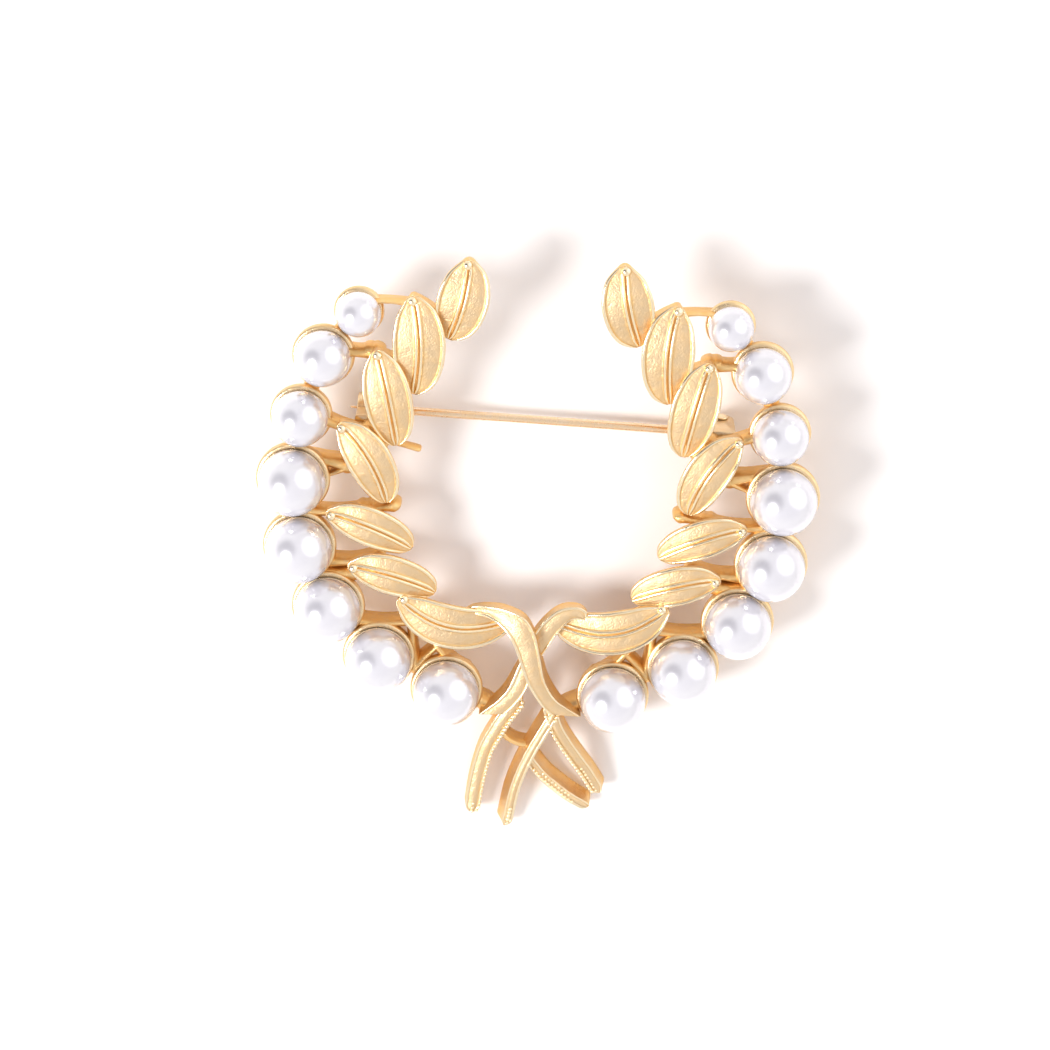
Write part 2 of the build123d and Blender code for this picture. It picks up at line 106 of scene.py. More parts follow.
def fill(node, values):
    """Set a shader node's own inputs, by name or number."""
    for socket, value in values.items():
        node.inputs[socket].default_value = value


def shader_node(tree, kind, values=None, **settings):
    """New shader node with its settings and the values of its inputs."""
    made = tree.nodes.new("ShaderNode" + kind)
    for setting, value in settings.items():
        setattr(made, setting, value)
    fill(made, values or {})
    return made


def join(tree, *runs):
    """Link shader nodes: each run is a node, its output, the next node and its input."""
    for start, output, end, entry in runs:
        tree.links.new(start.outputs[output], end.inputs[entry])


def new_finish(name, values):
    """New material whose shader holds these values, with its node tree and shader."""
    material = bpy.data.materials.new(name)
    material.use_nodes = True
    shader = material.node_tree.nodes["Principled BSDF"]
    fill(shader, values)
    return material, material.node_tree, shader


def towards(turn, bearing):
    """Direction that many degrees off the camera's line, on that bearing round the picture."""
    off, bearing = math.radians(turn), math.radians(bearing)
    sideways = math.cos(bearing) * picture_right + math.sin(bearing) * picture_up
    return math.cos(off) * towards_camera + math.sin(off) * sideways


def soft_lamp(name, turn, bearing, size, power):
    """Disc lamp that faces the brooch from a turn and a bearing."""
    back = towards(turn, bearing)
    right = np.cross(towards_camera, back)
    right /= np.linalg.norm(right)
    data = bpy.data.lights.new(name, "AREA")
    data.shape = "DISK"
    data.size = size
    data.energy = power
    lamp = bpy.data.objects.new(name, data)
    lamp.matrix_world = looking(
        right, np.cross(back, right), back, CAMERA_TARGET + LAMP_DISTANCE * back
    )
    into_scene(lamp)


floor_mesh = bpy.data.meshes.new("floor")
half = FLOOR_SIZE / 2
floor_mesh.from_pydata(
    [(-half, -half, 0), (half, -half, 0), (half, half, 0), (-half, half, 0)], [], [(0, 1, 2, 3)]
)
floor = bpy.data.objects.new("floor", floor_mesh)
into_scene(floor)
card = {"Base Color": FLOOR_COLOUR, "Roughness": FLOOR_ROUGHNESS}
floor_mesh.materials.append(new_finish("white card", card)[0])

for lamp in LAMPS:
    soft_lamp(*lamp)

world = bpy.data.worlds.new("white tent")
world.use_nodes = True
bpy.context.scene.world = world
tent = world.node_tree
direction = shader_node(tent, "TexCoord")
split = shader_node(tent, "SeparateXYZ")
ramp = shader_node(tent, "ValToRGB")
wall, roof = ramp.color_ramp.elements
wall.position, wall.color = WALL_UP_TO, TENT_WALL
roof.position, roof.color = ROOF_FROM, TENT_ROOF
facing = shader_node(
    tent, "VectorMath", {1: towards(OPENING_TURN, OPENING_BEARING)}, operation="DOT_PRODUCT"
)
edge = shader_node(tent, "MapRange", OPENING_EDGE, interpolation_type="SMOOTHSTEP")
opened = shader_node(tent, "Mix", {"B": TENT_OPENING}, data_type="RGBA")
join(
    tent,
    (direction, "Generated", split, "Vector"),
    (direction, "Generated", facing, 0),
    (split, "Z", ramp, "Fac"),
    (ramp, "Color", opened, "A"),
    (facing, "Value", edge, "Value"),
    (edge, "Result", opened, "Factor"),
    (opened, "Result", tent.nodes["Background"], "Color"),
)

# Pearls
# Sixteen imitation pearls, five large, two middling and one small on each side. Each is a
# ball of acrylic under many coats of pearl lacquer, glued into its cup.
SIDES = {"left": -1, "right": 1}
PEARLS_PER_SIDE = 8
PEARL_ROWS = 48
PEARL_COLUMNS = 96
PEARL_COLOUR = (0.79, 0.77, 0.80, 1.0)
PEARL_SHADE = (0.74, 0.725, 0.77, 1.0)
LUSTRE_SCALE = 260.0
LUSTRE_BUMP = 0.02
LUSTRE_DEPTH = 0.0001
LACQUER = {
    "Metallic": 0.5,
    "Roughness": 0.22,
    "Coat Weight": 1.0,
    "Coat Roughness": 0.12,
    "Coat IOR": 1.6,
}


def pearl_lacquer():
    """Soft white under a clear coat, with a faint uneven lustre in colour and surface."""
    material, tree, shader = new_finish("pearl lacquer", LACQUER)
    place = shader_node(tree, "TexCoord")
    cloud = shader_node(tree, "TexNoise", {"Scale": LUSTRE_SCALE, "Detail": 3.0})
    tint = shader_node(tree, "Mix", {"A": PEARL_SHADE, "B": PEARL_COLOUR}, data_type="RGBA")
    dimple = shader_node(tree, "Bump", {"Strength": LUSTRE_BUMP, "Distance": LUSTRE_DEPTH})
    join(
        tree,
        (place, "Object", cloud, "Vector"),
        (cloud, "Fac", tint, "Factor"),
        (tint, "Result", shader, "Base Color"),
        (cloud, "Fac", dimple, "Height"),
        (dimple, "Normal", shader, "Normal"),
    )
    return material


def full_turn(count):
    """That many angles, evenly round one turn."""
    return np.linspace(0, 2 * math.pi, count, endpoint=False)


def ball(middle, radius, rows, columns):
    """Sphere: each row is a circle of radius r sin(t) at height r cos(t), t from pole to pole."""
    t = np.linspace(0, math.pi, rows + 2)[1:-1, None]
    turn = full_turn(columns)[None, :]
    x = radius * np.sin(t) * np.cos(turn)
    y = radius * np.sin(t) * np.sin(turn)
    z = radius * np.cos(t) * np.ones_like(turn)
    return middle + np.stack([x, y, z], axis=-1)


def shell(points, caps=True, **marks):
    """Grid of points (rows, columns, 3) as a surface; marks are values on its points.

    The last column joins the first, and caps close the first and last rows with a fan round
    the mean of their points. Where the volume inside comes out negative, all faces are turned.
    """
    rows, columns = points.shape[:2]
    near = np.arange(rows * columns).reshape(rows, columns)
    far = np.roll(near, -1, axis=1)
    quads = np.stack([near[:-1], near[1:], far[1:], far[:-1]], axis=-1).reshape(-1, 4)
    places = points.reshape(-1, 3)
    values = {}
    for name, value in marks.items():
        values[name] = np.broadcast_to(value, (rows, columns)).reshape(-1).astype(float)
    triangles = np.zeros((0, 3), int)
    if caps:
        first, last = len(places), len(places) + 1
        places = np.vstack([places, points[0].mean(axis=0), points[-1].mean(axis=0)])
        for name, value in values.items():
            closing = [value[:columns].mean(), value[-columns:].mean()]
            values[name] = np.concatenate([value, closing])
        start = np.stack([near[0], far[0], np.full(columns, first)], axis=-1)
        end = np.stack([far[-1], near[-1], np.full(columns, last)], axis=-1)
        triangles = np.vstack([start, end])
    corners = np.vstack([quads[:, :3], quads[:, [0, 2, 3]], triangles])
    a, b, c = (places[corners[:, k]] - places.mean(axis=0) for k in range(3))
    if np.einsum("ij,ij->", a, np.cross(b, c)) < 0:
        quads, triangles = quads[:, ::-1], triangles[:, ::-1]
    return {"places": places, "quads": quads, "triangles": triangles, "marks": values}


def piece(name, shells, material, body, node):
    """One object made of shells, which rides on a body and stands for a CAD node."""
    offsets = np.cumsum([0] + [len(part["places"]) for part in shells])
    places = np.vstack([part["places"] for part in shells])
    faces = []
    for part, offset in zip(shells, offsets):
        faces.extend((part["quads"] + offset).tolist())
        faces.extend((part["triangles"] + offset).tolist())
    mesh = bpy.data.meshes.new(name)
    mesh.from_pydata(places.tolist(), [], faces)
    for mark in shells[0]["marks"]:
        values = np.concatenate([part["marks"][mark] for part in shells])
        layer = mesh.attributes.new(mark, "FLOAT", "POINT")
        layer.data.foreach_set("value", values.astype(np.float32))
    mesh.polygons.foreach_set("use_smooth", np.ones(len(faces), bool))
    mesh.materials.append(material)
    mesh.update()
    thing = bpy.data.objects.new(name, mesh)
    into_scene(thing)
    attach(thing, body)
    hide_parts(node)
    return thing


def node_ball(node):
    """Middle of a CAD node's box and half its height."""
    low, high = np.array(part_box(node))
    return (low + high) / 2, (high[2] - low[2]) / 2


lacquer = pearl_lacquer()
for side in SIDES:
    for number in range(1, PEARLS_PER_SIDE + 1):
        node = f"pearl_{side}_{number}"
        grid = ball(*node_ball(node), PEARL_ROWS, PEARL_COLUMNS)
        pearl = piece(f"pearl_coat_{side}_{number}", [shell(grid)], lacquer, "wreath", node)

# Cups
# Each pearl sits in a round dish with a rolled lip. All dishes are one brass casting with
# the wreath, filed flat on the back. Its pale gold plate is satin on open faces and burnished
# on lips and ridges, which are also painted a lighter gold as a highlight; the recesses are
# painted a redder, darker gold as shade.
SATIN_GOLD = (0.77, 0.57, 0.34, 1.0)
# Painted highlight: a lighter gold mixed in where a part is burnished
HIGHLIGHT_GOLD = (0.98, 0.83, 0.57, 1.0)
# Painted shade: a redder, darker gold mixed in where a part lies in a recess or low down
SHADE_GOLD = (0.87, 0.54, 0.19, 1.0)
SATIN_ROUGHNESS = 0.48
BRIGHT_ROUGHNESS = 0.20
SATIN_BUMP = 0.6
GRAIN_DEPTH = 0.00008
BRIGHT_GRAIN = 0.15
GRAIN_SCALES = {"Fine Scale": 6000.0, "Slow Scale": 1300.0}
SLOW_GRAIN = 1.6
MOTTLE_RANGE = {"From Min": 0.3, "From Max": 0.7, "To Min": -0.06, "To Max": 0.06}
RECESS_MOTTLE = 2.5
# The flat wreath in millimetres, its back on z = 0 and its first pearl at FIRST_PEARL
MILLIMETRE = 0.001
PEARL_DIAMETERS = (6.0, 6.0, 6.0, 6.0, 6.0, 5.0, 5.0, 4.0)
PEARL_RISE = 0.45
FIRST_PEARL = (7.6, -15.4)
SEAT_GAP = 0.02
CUP_WALL = 0.52
CUP_LIP_DROP = 1.25
CUP_TUCK = 0.42
CUP_TUCK_POWER = 2.6
CUP_BOTTOM = math.radians(-82)
CUP_COLUMNS = 96
CUP_ROWS = 16
LIP_ROWS = 9
# Steps of the filed back: inwards from the foot of the wall, and up
CUP_CUT = ((0.30, 0.0), (0.08, 0.0), (0.02, 0.02))
# Burnish with painted highlight, and painted shade, of the cut, and of the wall, lip and bowl from
# first to last
CUT_POLISH, CUT_RECESS = 0.3, 0.5
WALL_POLISH, WALL_RECESS = (0.0, 0.3), (1.0, 0.6)
LIP_POLISH, LIP_RECESS = (0.4, 1.0), (0.5, 0.0)
BOWL_RECESS = (0.8, 1.0)


def cast_grain():
    """Node group: height is fine noise plus SLOW_GRAIN times slow noise, mottle the slow one."""
    group = bpy.data.node_groups.new("cast grain", "ShaderNodeTree")
    for way, names in (("INPUT", ("Fine Scale", "Slow Scale")), ("OUTPUT", ("Height", "Mottle"))):
        for name in names:
            group.interface.new_socket(name, in_out=way, socket_type="NodeSocketFloat")
    entry = group.nodes.new("NodeGroupInput")
    leave = group.nodes.new("NodeGroupOutput")
    place = shader_node(group, "TexCoord")
    fine = shader_node(group, "TexNoise", {"Detail": 2.0})
    slow = shader_node(group, "TexNoise", {"Detail": 3.0})
    mixed = shader_node(group, "Math", {1: SLOW_GRAIN}, operation="MULTIPLY_ADD")
    join(
        group,
        (place, "Object", fine, "Vector"),
        (place, "Object", slow, "Vector"),
        (entry, "Fine Scale", fine, "Scale"),
        (entry, "Slow Scale", slow, "Scale"),
        (slow, "Fac", mixed, 0),
        (fine, "Fac", mixed, 2),
        (mixed, "Value", leave, "Height"),
        (slow, "Fac", leave, "Mottle"),
    )
    return group


grain_group = cast_grain()


def gold_plate(name, satin, satin_roughness, bright_roughness, bump):
    """Plated casting: satin faces, burnished and painted a lighter gold as a highlight where its
    burnish mark is 1, and painted a redder gold as shade where its shade mark is 1.

    The mottle shifts the roughness and, RECESS_MOTTLE times as much, the share of painted shade.
    The burnish mark also fades the grain's height to BRIGHT_GRAIN of its depth.
    """
    material, tree, shader = new_finish(name, {"Metallic": 1.0})
    roughnesses = {"To Min": satin_roughness, "To Max": bright_roughness}
    polish = shader_node(tree, "Attribute", attribute_name="polish")
    recess = shader_node(tree, "Attribute", attribute_name="recess")
    grain = shader_node(tree, "Group", GRAIN_SCALES, node_tree=grain_group)
    # Painted highlight: burnished parts are mixed towards a lighter gold
    plate = shader_node(tree, "Mix", {"A": satin, "B": HIGHLIGHT_GOLD}, data_type="RGBA")
    mottle = shader_node(tree, "MapRange", MOTTLE_RANGE)
    # Painted shade, made uneven by the random mottle: mixed towards a redder, darker gold
    patchy_shade = shader_node(tree, "Math", {1: RECESS_MOTTLE}, operation="MULTIPLY_ADD")
    shaded = shader_node(tree, "Mix", {"B": SHADE_GOLD}, data_type="RGBA")
    matt = shader_node(tree, "MapRange", roughnesses)
    uneven = shader_node(tree, "Math", operation="ADD")
    fading = shader_node(tree, "MapRange", {"To Min": 1.0, "To Max": BRIGHT_GRAIN})
    relief = shader_node(tree, "Math", operation="MULTIPLY")
    pitted = shader_node(tree, "Bump", {"Strength": bump, "Distance": GRAIN_DEPTH})
    join(
        tree,
        (polish, "Fac", plate, "Factor"),
        (plate, "Result", shaded, "A"),
        (grain, "Mottle", mottle, "Value"),
        (mottle, "Result", patchy_shade, 0),
        (recess, "Fac", patchy_shade, 2),
        (patchy_shade, "Value", shaded, "Factor"),
        (shaded, "Result", shader, "Base Color"),
        (polish, "Fac", matt, "Value"),
        (matt, "Result", uneven, 0),
        (mottle, "Result", uneven, 1),
        (uneven, "Value", shader, "Roughness"),
        (polish, "Fac", fading, "Value"),
        (grain, "Height", relief, 0),
        (fading, "Result", relief, 1),
        (relief, "Value", pitted, "Height"),
        (pitted, "Normal", shader, "Normal"),
    )
    return material


cast_gold = gold_plate(
    "cast gold plate", SATIN_GOLD, SATIN_ROUGHNESS, BRIGHT_ROUGHNESS, SATIN_BUMP
)

# The tilt is read from two large pearls, which stand equally high on the flat wreath
first_centre = node_ball("pearl_right_1")[0] / MILLIMETRE
fifth_centre = node_ball("pearl_right_5")[0] / MILLIMETRE
tilt = math.atan2(fifth_centre[2] - first_centre[2], fifth_centre[1] - first_centre[1])
wreath_axes = np.array(
    [
        [1.0, 0.0, 0.0],
        [0.0, math.cos(tilt), math.sin(tilt)],
        [0.0, -math.sin(tilt), math.cos(tilt)],
    ]
)
first_flat = np.array([*FIRST_PEARL, PEARL_RISE + PEARL_DIAMETERS[0] / 2])
wreath_origin = first_centre - first_flat @ wreath_axes


def laid(points):
    """Points of the flat wreath in millimetres, tilted to where it lies, in metres."""
    return (wreath_origin + np.asarray(points) @ wreath_axes) * MILLIMETRE


def right_pearl(index):
    """Plan point of one of the right side's pearls on the flat wreath."""
    middle = node_ball(f"pearl_right_{index + 1}")[0] / MILLIMETRE
    return (wreath_axes @ (middle - wreath_origin))[:2]


def casting(name, shells):
    """Piece of the brass casting under its gold plate."""
    piece(name, shells, cast_gold, "wreath", "cast_frame")


def turned(middle, profile, columns, **marks):
    """Surface turned about the wreath's own upright: each profile point (r, z) runs a circle."""
    turn = full_turn(columns)
    radius = profile[:, 0][:, None]
    x = middle[0] + radius * np.cos(turn)
    y = middle[1] + radius * np.sin(turn)
    z = middle[2] + profile[:, 1][:, None] + 0 * turn
    spread = {name: value[:, None] for name, value in marks.items()}
    return shell(laid(np.stack([x, y, z], axis=-1)), **spread)


def cup_profile(radius):
    """Dish section: up a barrel wall, round the lip and down the bowl, from foot to foot.

    The wall's radius is r (1 - CUP_TUCK d^CUP_TUCK_POWER) for a depth d from 0 at the lip to
    1 at the foot, the lip is half a circle, and the bowl the pearl's own circle.
    """
    inner = radius + SEAT_GAP
    outer = inner + CUP_WALL
    foot = -(PEARL_RISE + radius)
    down = np.linspace(1, 0, CUP_ROWS)
    height = -CUP_LIP_DROP + (foot + CUP_LIP_DROP) * down
    lip_radius = outer * math.cos(math.asin(-CUP_LIP_DROP / outer))
    wall = lip_radius * (1 - CUP_TUCK * down**CUP_TUCK_POWER)
    cut = np.array([[wall[0] - inwards, foot + up] for inwards, up in CUP_CUT])
    outside = np.stack([wall, height], axis=1)[1:]
    bowl_top = math.asin(-CUP_LIP_DROP / inner)
    middle = (inner * math.cos(bowl_top) + wall[-1]) / 2
    thick = wall[-1] - middle
    roll = np.linspace(0, math.pi, LIP_ROWS + 2)[1:-1]
    lip = [middle + thick * np.cos(roll), -CUP_LIP_DROP + thick * np.sin(roll)]
    bowl = np.linspace(bowl_top, CUP_BOTTOM, CUP_ROWS)
    inside = np.stack([inner * np.cos(bowl), inner * np.sin(bowl)], axis=1)
    profile = np.vstack([cut, outside, np.stack(lip, axis=1), inside])
    # Painted highlight on the lip; painted shade heaviest at the wall's foot and in the bowl
    polish = [
        np.full(len(cut), CUT_POLISH),
        np.linspace(*WALL_POLISH, CUP_ROWS)[1:],
        np.linspace(*LIP_POLISH, LIP_ROWS),
        np.zeros(CUP_ROWS),
    ]
    recess = [
        np.full(len(cut), CUT_RECESS),
        np.linspace(*WALL_RECESS, CUP_ROWS)[1:],
        np.linspace(*LIP_RECESS, LIP_ROWS),
        np.linspace(*BOWL_RECESS, CUP_ROWS),
    ]
    return profile, np.concatenate(polish), np.concatenate(recess)


right_pearls = [right_pearl(index) for index in range(PEARLS_PER_SIDE)]
cups = []
for side in SIDES.values():
    for (across, up), diameter in zip(right_pearls, PEARL_DIAMETERS):
        profile, polish, recess = cup_profile(diameter / 2)
        middle = (across * side, up, PEARL_RISE + diameter / 2)
        cups.append(turned(middle, profile, CUP_COLUMNS, polish=polish, recess=recess))
casting("pearl_cups", cups)

# Twigs and bridges
# Short brass twigs, cast in one with the cups, tie them to each other and to the leaves.
# They are rounded on the face, flat on the back and thicker where they join.
BARE_STEP = 5.0
BARE_BEARINGS = (150.0, 168.0)
LEAF_BAND = 9.0
BRIDGE_WIDTH = 1.5
BRIDGE_HEIGHT = 1.2
BRIDGE_FOOT = 0.08
TWIG_WIDTH = 1.3
TWIG_HEIGHT = 2.3
TWIG_FEET = (0.16, 0.22, 0.28)
STUB_WIDTH = 0.45
STUB_HEIGHT = 1.3
TWIG_FLARE = 0.4
TWIG_UNEVEN = 0.07
TWIG_WAVES = 9
TWIG_NOSE = 0.6
TWIG_NOSE_LIMIT = 0.3
TWIG_FLANK = 0.45
TWIG_ARCH_POWER = 0.8
TWIG_END_HEIGHT = 0.7
# Painted highlight on the twigs' crests, and painted shade over each twig, most on its sides, as
# the twigs sit low
TWIG_POLISH = 0.3
TWIG_POLISH_FROM = 0.8
TWIG_RECESS = 0.75
BAR_ROWS = 13
# Station and inset of each end, width as a share of TWIG_WIDTH and bow in millimetres
TWIGS = (
    (7.30, -0.03, 7.86, 0.15, 0.30, -0.15),
    (8.00, 0.13, 8.45, 0.38, 0.30, -0.20),
    (6.20, 0.05, 6.66, 0.38, 0.80, 0.10),
    (6.60, 0.34, 6.90, 0.64, 0.70, 0.00),
    (5.05, 0.12, 4.98, 0.76, 0.75, 0.25),
    (5.02, 0.66, 4.85, 0.84, 0.80, 0.00),
    (4.30, 0.08, 4.26, 0.50, 0.90, -0.15),
    (4.00, 0.20, 4.22, 0.50, 0.45, 0.10),
    (3.48, 0.12, 3.40, 0.72, 0.65, 0.15),
    (3.40, 0.66, 3.40, 0.96, 0.70, 0.00),
    (2.60, 0.20, 2.33, 0.66, 0.70, 0.15),
    (2.50, 0.05, 2.24, 0.36, 0.80, 0.00),
    (1.62, 0.05, 0.88, 0.50, 0.65, 0.20),
    (0.94, 0.50, 0.50, 0.05, 0.70, 0.10),
    (0.50, 0.05, 0.32, 0.50, 0.65, -0.15),
    (0.42, 0.36, -0.10, 0.24, 0.65, 0.15),
)
STUB = (4.84, 0.88, 4.79, 1.19)

# Stations are the right side's pearls from the ribbon upwards, then two bare ones
stations = list(right_pearls)
for bearing in np.radians(BARE_BEARINGS):
    stations.append(stations[-1] + BARE_STEP * np.array([math.cos(bearing), math.sin(bearing)]))
stations = np.array(stations)
before_station = stations[np.maximum(np.arange(len(stations)) - 1, 0)]
after_station = stations[np.minimum(np.arange(len(stations)) + 1, len(stations) - 1)]
station_run = after_station - before_station
station_run /= np.linalg.norm(station_run, axis=1)[:, None]
station_inward = np.stack([-station_run[:, 1], station_run[:, 0]], axis=1)


def ring(station, inset, side):
    """Plan point at a fractional station, moved inwards by a share of the leaf band."""
    index = int(min(max(station, 0), len(stations) - 2))
    share = station - index
    point = stations[index] * (1 - share) + stations[index + 1] * share
    inward = station_inward[index] * (1 - share) + station_inward[index + 1] * share
    point = point + inward / np.linalg.norm(inward) * inset * LEAF_BAND
    return np.array([point[0] * side, point[1]])


def round_end(first, rows):
    """Steps along a round end: 1 - cos(t), t from the first angle to a quarter turn."""
    return 1 - np.cos(np.linspace(first, math.pi / 2, rows))


def rounded_bar(start, end, width, height, foot, bow=0.0, flare=TWIG_FLARE):
    """Bar close over the back plane: flat below and an arch above, carried from end to end.

    Its line is bowed sideways by bow times 4u(1 - u) for u from 0 to 1 along it. The half
    width is w (1 + flare (2u - 1)^4), a fillet at both joints, made uneven by TWIG_UNEVEN
    sin(TWIG_WAVES u), and both ends are closed in a half round.
    """
    length = np.linalg.norm(end - start)
    run = (end - start) / length
    across = np.array([-run[1], run[0]])
    step = round_end(0.2, 7)
    nose = min(TWIG_NOSE_LIMIT, TWIG_NOSE * (1 + flare) * width / length)
    straight = np.linspace(0, 1, BAR_ROWS)[1:-1]
    u = np.concatenate([nose * (step - 1), straight, 1 + nose * (1 - step[::-1])])
    past = np.clip(np.maximum(-u, u - 1) / nose, 0, 1)
    closing = np.sqrt(1 - past**2)[:, None]
    u = u[:, None]
    arch = np.linspace(0, math.pi, BAR_ROWS)
    side = np.concatenate([np.cos(arch), [-1.0, 0.0, 1.0]])[None, :]
    lift = TWIG_FLANK + (1 - TWIG_FLANK) * np.sin(arch) ** TWIG_ARCH_POWER
    lift = np.concatenate([lift, [0.0, 0.0, 0.0]])[None, :]
    fillet = flare * np.clip(2 * u - 1, -1, 1) ** 4
    half = width / 2 * (1 + fillet + TWIG_UNEVEN * np.sin(TWIG_WAVES * u)) * closing
    middle = start + (end - start) * u + across * bow * 4 * u * (1 - u)
    x = middle[:, :1] + across[0] * half * side
    y = middle[:, 1:] + across[1] * half * side
    fall = TWIG_END_HEIGHT + (1 - TWIG_END_HEIGHT) * closing
    z = foot + (height * fall - foot) * lift
    # Painted highlight on the crest; painted shade everywhere, heaviest down the sides and foot
    polish = TWIG_POLISH * np.clip((lift - TWIG_POLISH_FROM) / (1 - TWIG_POLISH_FROM), 0, 1)
    recess = np.clip(TWIG_RECESS * (2 - lift), 0, 1)
    return shell(laid(np.stack([x, y, z], axis=-1)), polish=polish, recess=recess)


bars = []
for side in SIDES.values():
    for index in range(PEARLS_PER_SIDE - 1):
        ends = ring(index, 0, side), ring(index + 1, 0, side)
        bars.append(rounded_bar(*ends, BRIDGE_WIDTH, BRIDGE_HEIGHT, BRIDGE_FOOT))
    for index, (from_station, from_inset, to_station, to_inset, width, bow) in enumerate(TWIGS):
        ends = ring(from_station, from_inset, side), ring(to_station, to_inset, side)
        foot = TWIG_FEET[index % len(TWIG_FEET)]
        bars.append(rounded_bar(*ends, TWIG_WIDTH * width, TWIG_HEIGHT, foot, bow * side))
stub_ends = ring(*STUB[:2], SIDES["left"]), ring(*STUB[2:], SIDES["left"])
bars.append(rounded_bar(*stub_ends, STUB_WIDTH, STUB_HEIGHT, TWIG_FEET[0], flare=0.0))
casting("twigs", bars)

# Leaves
# Fourteen brass leaves, seven on each side from the open top down to the ribbon, cast in
# one with the twigs. Each has a raised burnished rim that starts at a round knob on its
# tip, a double midrib and satin fields.
LEAF_HALF_WIDTH = 2.25
LEAF_THICKNESS = 1.2
LEAF_TIP_HEIGHT = 3.1
LEAF_CREST_RISE = 0.6
LEAF_BASE_FALL = 0.7
RIM_WIDTH = 0.34
RIM_HEIGHT = 0.24
RIB_WIDTH = 0.28
RIB_HEIGHT = 0.22
RIM_POWER = 0.7
GROOVE_WIDTH = 0.16
GROOVE_DEPTH = 0.11
FIELD_SLOPE = 0.085
FIELD_SWELL = 0.03
LEAF_UNDERCUT = 0.45
UNDERCUT_FULL_FROM = 1.76
KNOB_RADIUS = 0.47
KNOB_RISE = 0.30
KNOB_SETBACK = 0.06
LEAF_ROWS = 90
# Painted highlight on rim and rib crests and in the groove; painted shade at the feet of rims and
# ribs, in the groove and at the field's edges
GROOVE_POLISH = 0.3
GROOVE_RECESS = 0.55
RIM_RECESS = 0.8
RIB_RECESS = 0.7
FIELD_RECESS = 0.8
FIELD_RECESS_POWER = 6
# Painted shade, a redder gold, along a leaf from its tip and from its base: most, and the length
# it fades over
TIP_SHADE = (0.45, 0.09)
BASE_SHADE = (0.55, 0.12)
# Station and inset of tip and base, bow of the midline and width, from the top down
LEAVES = (
    (9.135, -0.20, 8.42, 0.57, 0.05, 0.98),
    (8.04, 0.06, 6.47, 0.92, 0.06, 1.00),
    (6.80, 0.35, 4.88, 0.97, 0.02, 0.92),
    (5.09, 0.37, 3.53, 0.90, 0.09, 0.86),
    (3.48, 0.30, 2.16, 1.03, 0.07, 0.77),
    (2.47, 0.37, 0.93, 0.89, 0.07, 0.79),
    (1.44, 0.60, -0.36, 0.96, -0.15, 0.90),
)
# Along the leaf from its tip: share of the width, of the crest's rise and of the relief
LEAF_ALONG = (0.03, 0.12, 0.33, 0.58, 0.82, 1.00)
LEAF_WIDTHS = (0.30, 0.64, 0.97, 1.02, 0.83, 0.44)
LEAF_RISES = (0.05, 0.30, 0.85, 0.95, 0.45, 0.00)
LEAF_RELIEFS = (0.25, 0.85, 1.00, 1.00, 0.90, 0.30)

rim_arch = np.linspace(0, math.pi, 9)
rim_crest = np.sin(rim_arch) ** 0.5
# Painted shade down a wall, heaviest at its foot
wall_recess = np.linspace(0.3, 1.0, 5)


def eased(at, places, values):
    """Smooth curve through a table: cubics whose slopes at its places are those of the chords."""
    places, values = np.asarray(places, float), np.asarray(values, float)
    slope = np.gradient(values, places, axis=0)
    index = np.clip(np.searchsorted(places, at) - 1, 0, len(places) - 2)
    span = places[index + 1] - places[index]
    t = (at - places[index]) / span
    if values.ndim > 1:
        t, span = t[:, None], span[:, None]
    start = (1 + 2 * t) * (1 - t) ** 2 * values[index] + t * (1 - t) ** 2 * span * slope[index]
    end = t**2 * (3 - 2 * t) * values[index + 1] + t**2 * (t - 1) * span * slope[index + 1]
    return start + end


def leaf_section(half, relief):
    """Half of a leaf's face from the edge to the midline: (across, up), burnish with painted
    highlight, and painted shade.

    The rim is an arch sin(t)^RIM_POWER over its width, the field climbs by FIELD_SLOPE with
    a low sine swell, and the rib is an arch of its own width beside the groove. All are
    shares of the half width where the leaf is narrow.
    """
    fit = np.minimum(1.0, half / (2 * (RIM_WIDTH + RIB_WIDTH)))
    rim, rib, groove = RIM_WIDTH * fit, RIB_WIDTH * fit, GROOVE_WIDTH / 2 * fit
    floor = -RIM_HEIGHT * relief
    arch = np.sin(rim_arch) ** RIM_POWER
    rim_across = half - rim / 2 + rim / 2 * np.cos(rim_arch)
    rim_up = floor * (1 - arch)
    t = np.linspace(0, 1, 11)[1:-1]
    field_across = half - rim + (groove + rib - half + rim) * t
    climb = FIELD_SLOPE * relief * (half - rim - rib - groove)
    field_up = floor + climb * t + FIELD_SWELL * relief * np.sin(math.pi * t)
    rib_across = groove + rib / 2 + rib / 2 * np.cos(rim_arch)
    rib_up = floor + climb + RIB_HEIGHT * relief * arch
    groove_up = floor + climb - GROOVE_DEPTH * relief
    across = np.hstack([rim_across, field_across, rib_across, 0 * half])
    up = np.hstack([rim_up, field_up, rib_up, groove_up])
    polish = np.concatenate([rim_crest, 0 * t, rim_crest, [GROOVE_POLISH]])
    rim_foot, rib_foot = RIM_RECESS * (1 - rim_crest), RIB_RECESS * (1 - rim_crest)
    edge = FIELD_RECESS * np.abs(2 * t - 1) ** FIELD_RECESS_POWER
    return across, up, polish, np.concatenate([rim_foot, edge, rib_foot, [GROOVE_RECESS]])


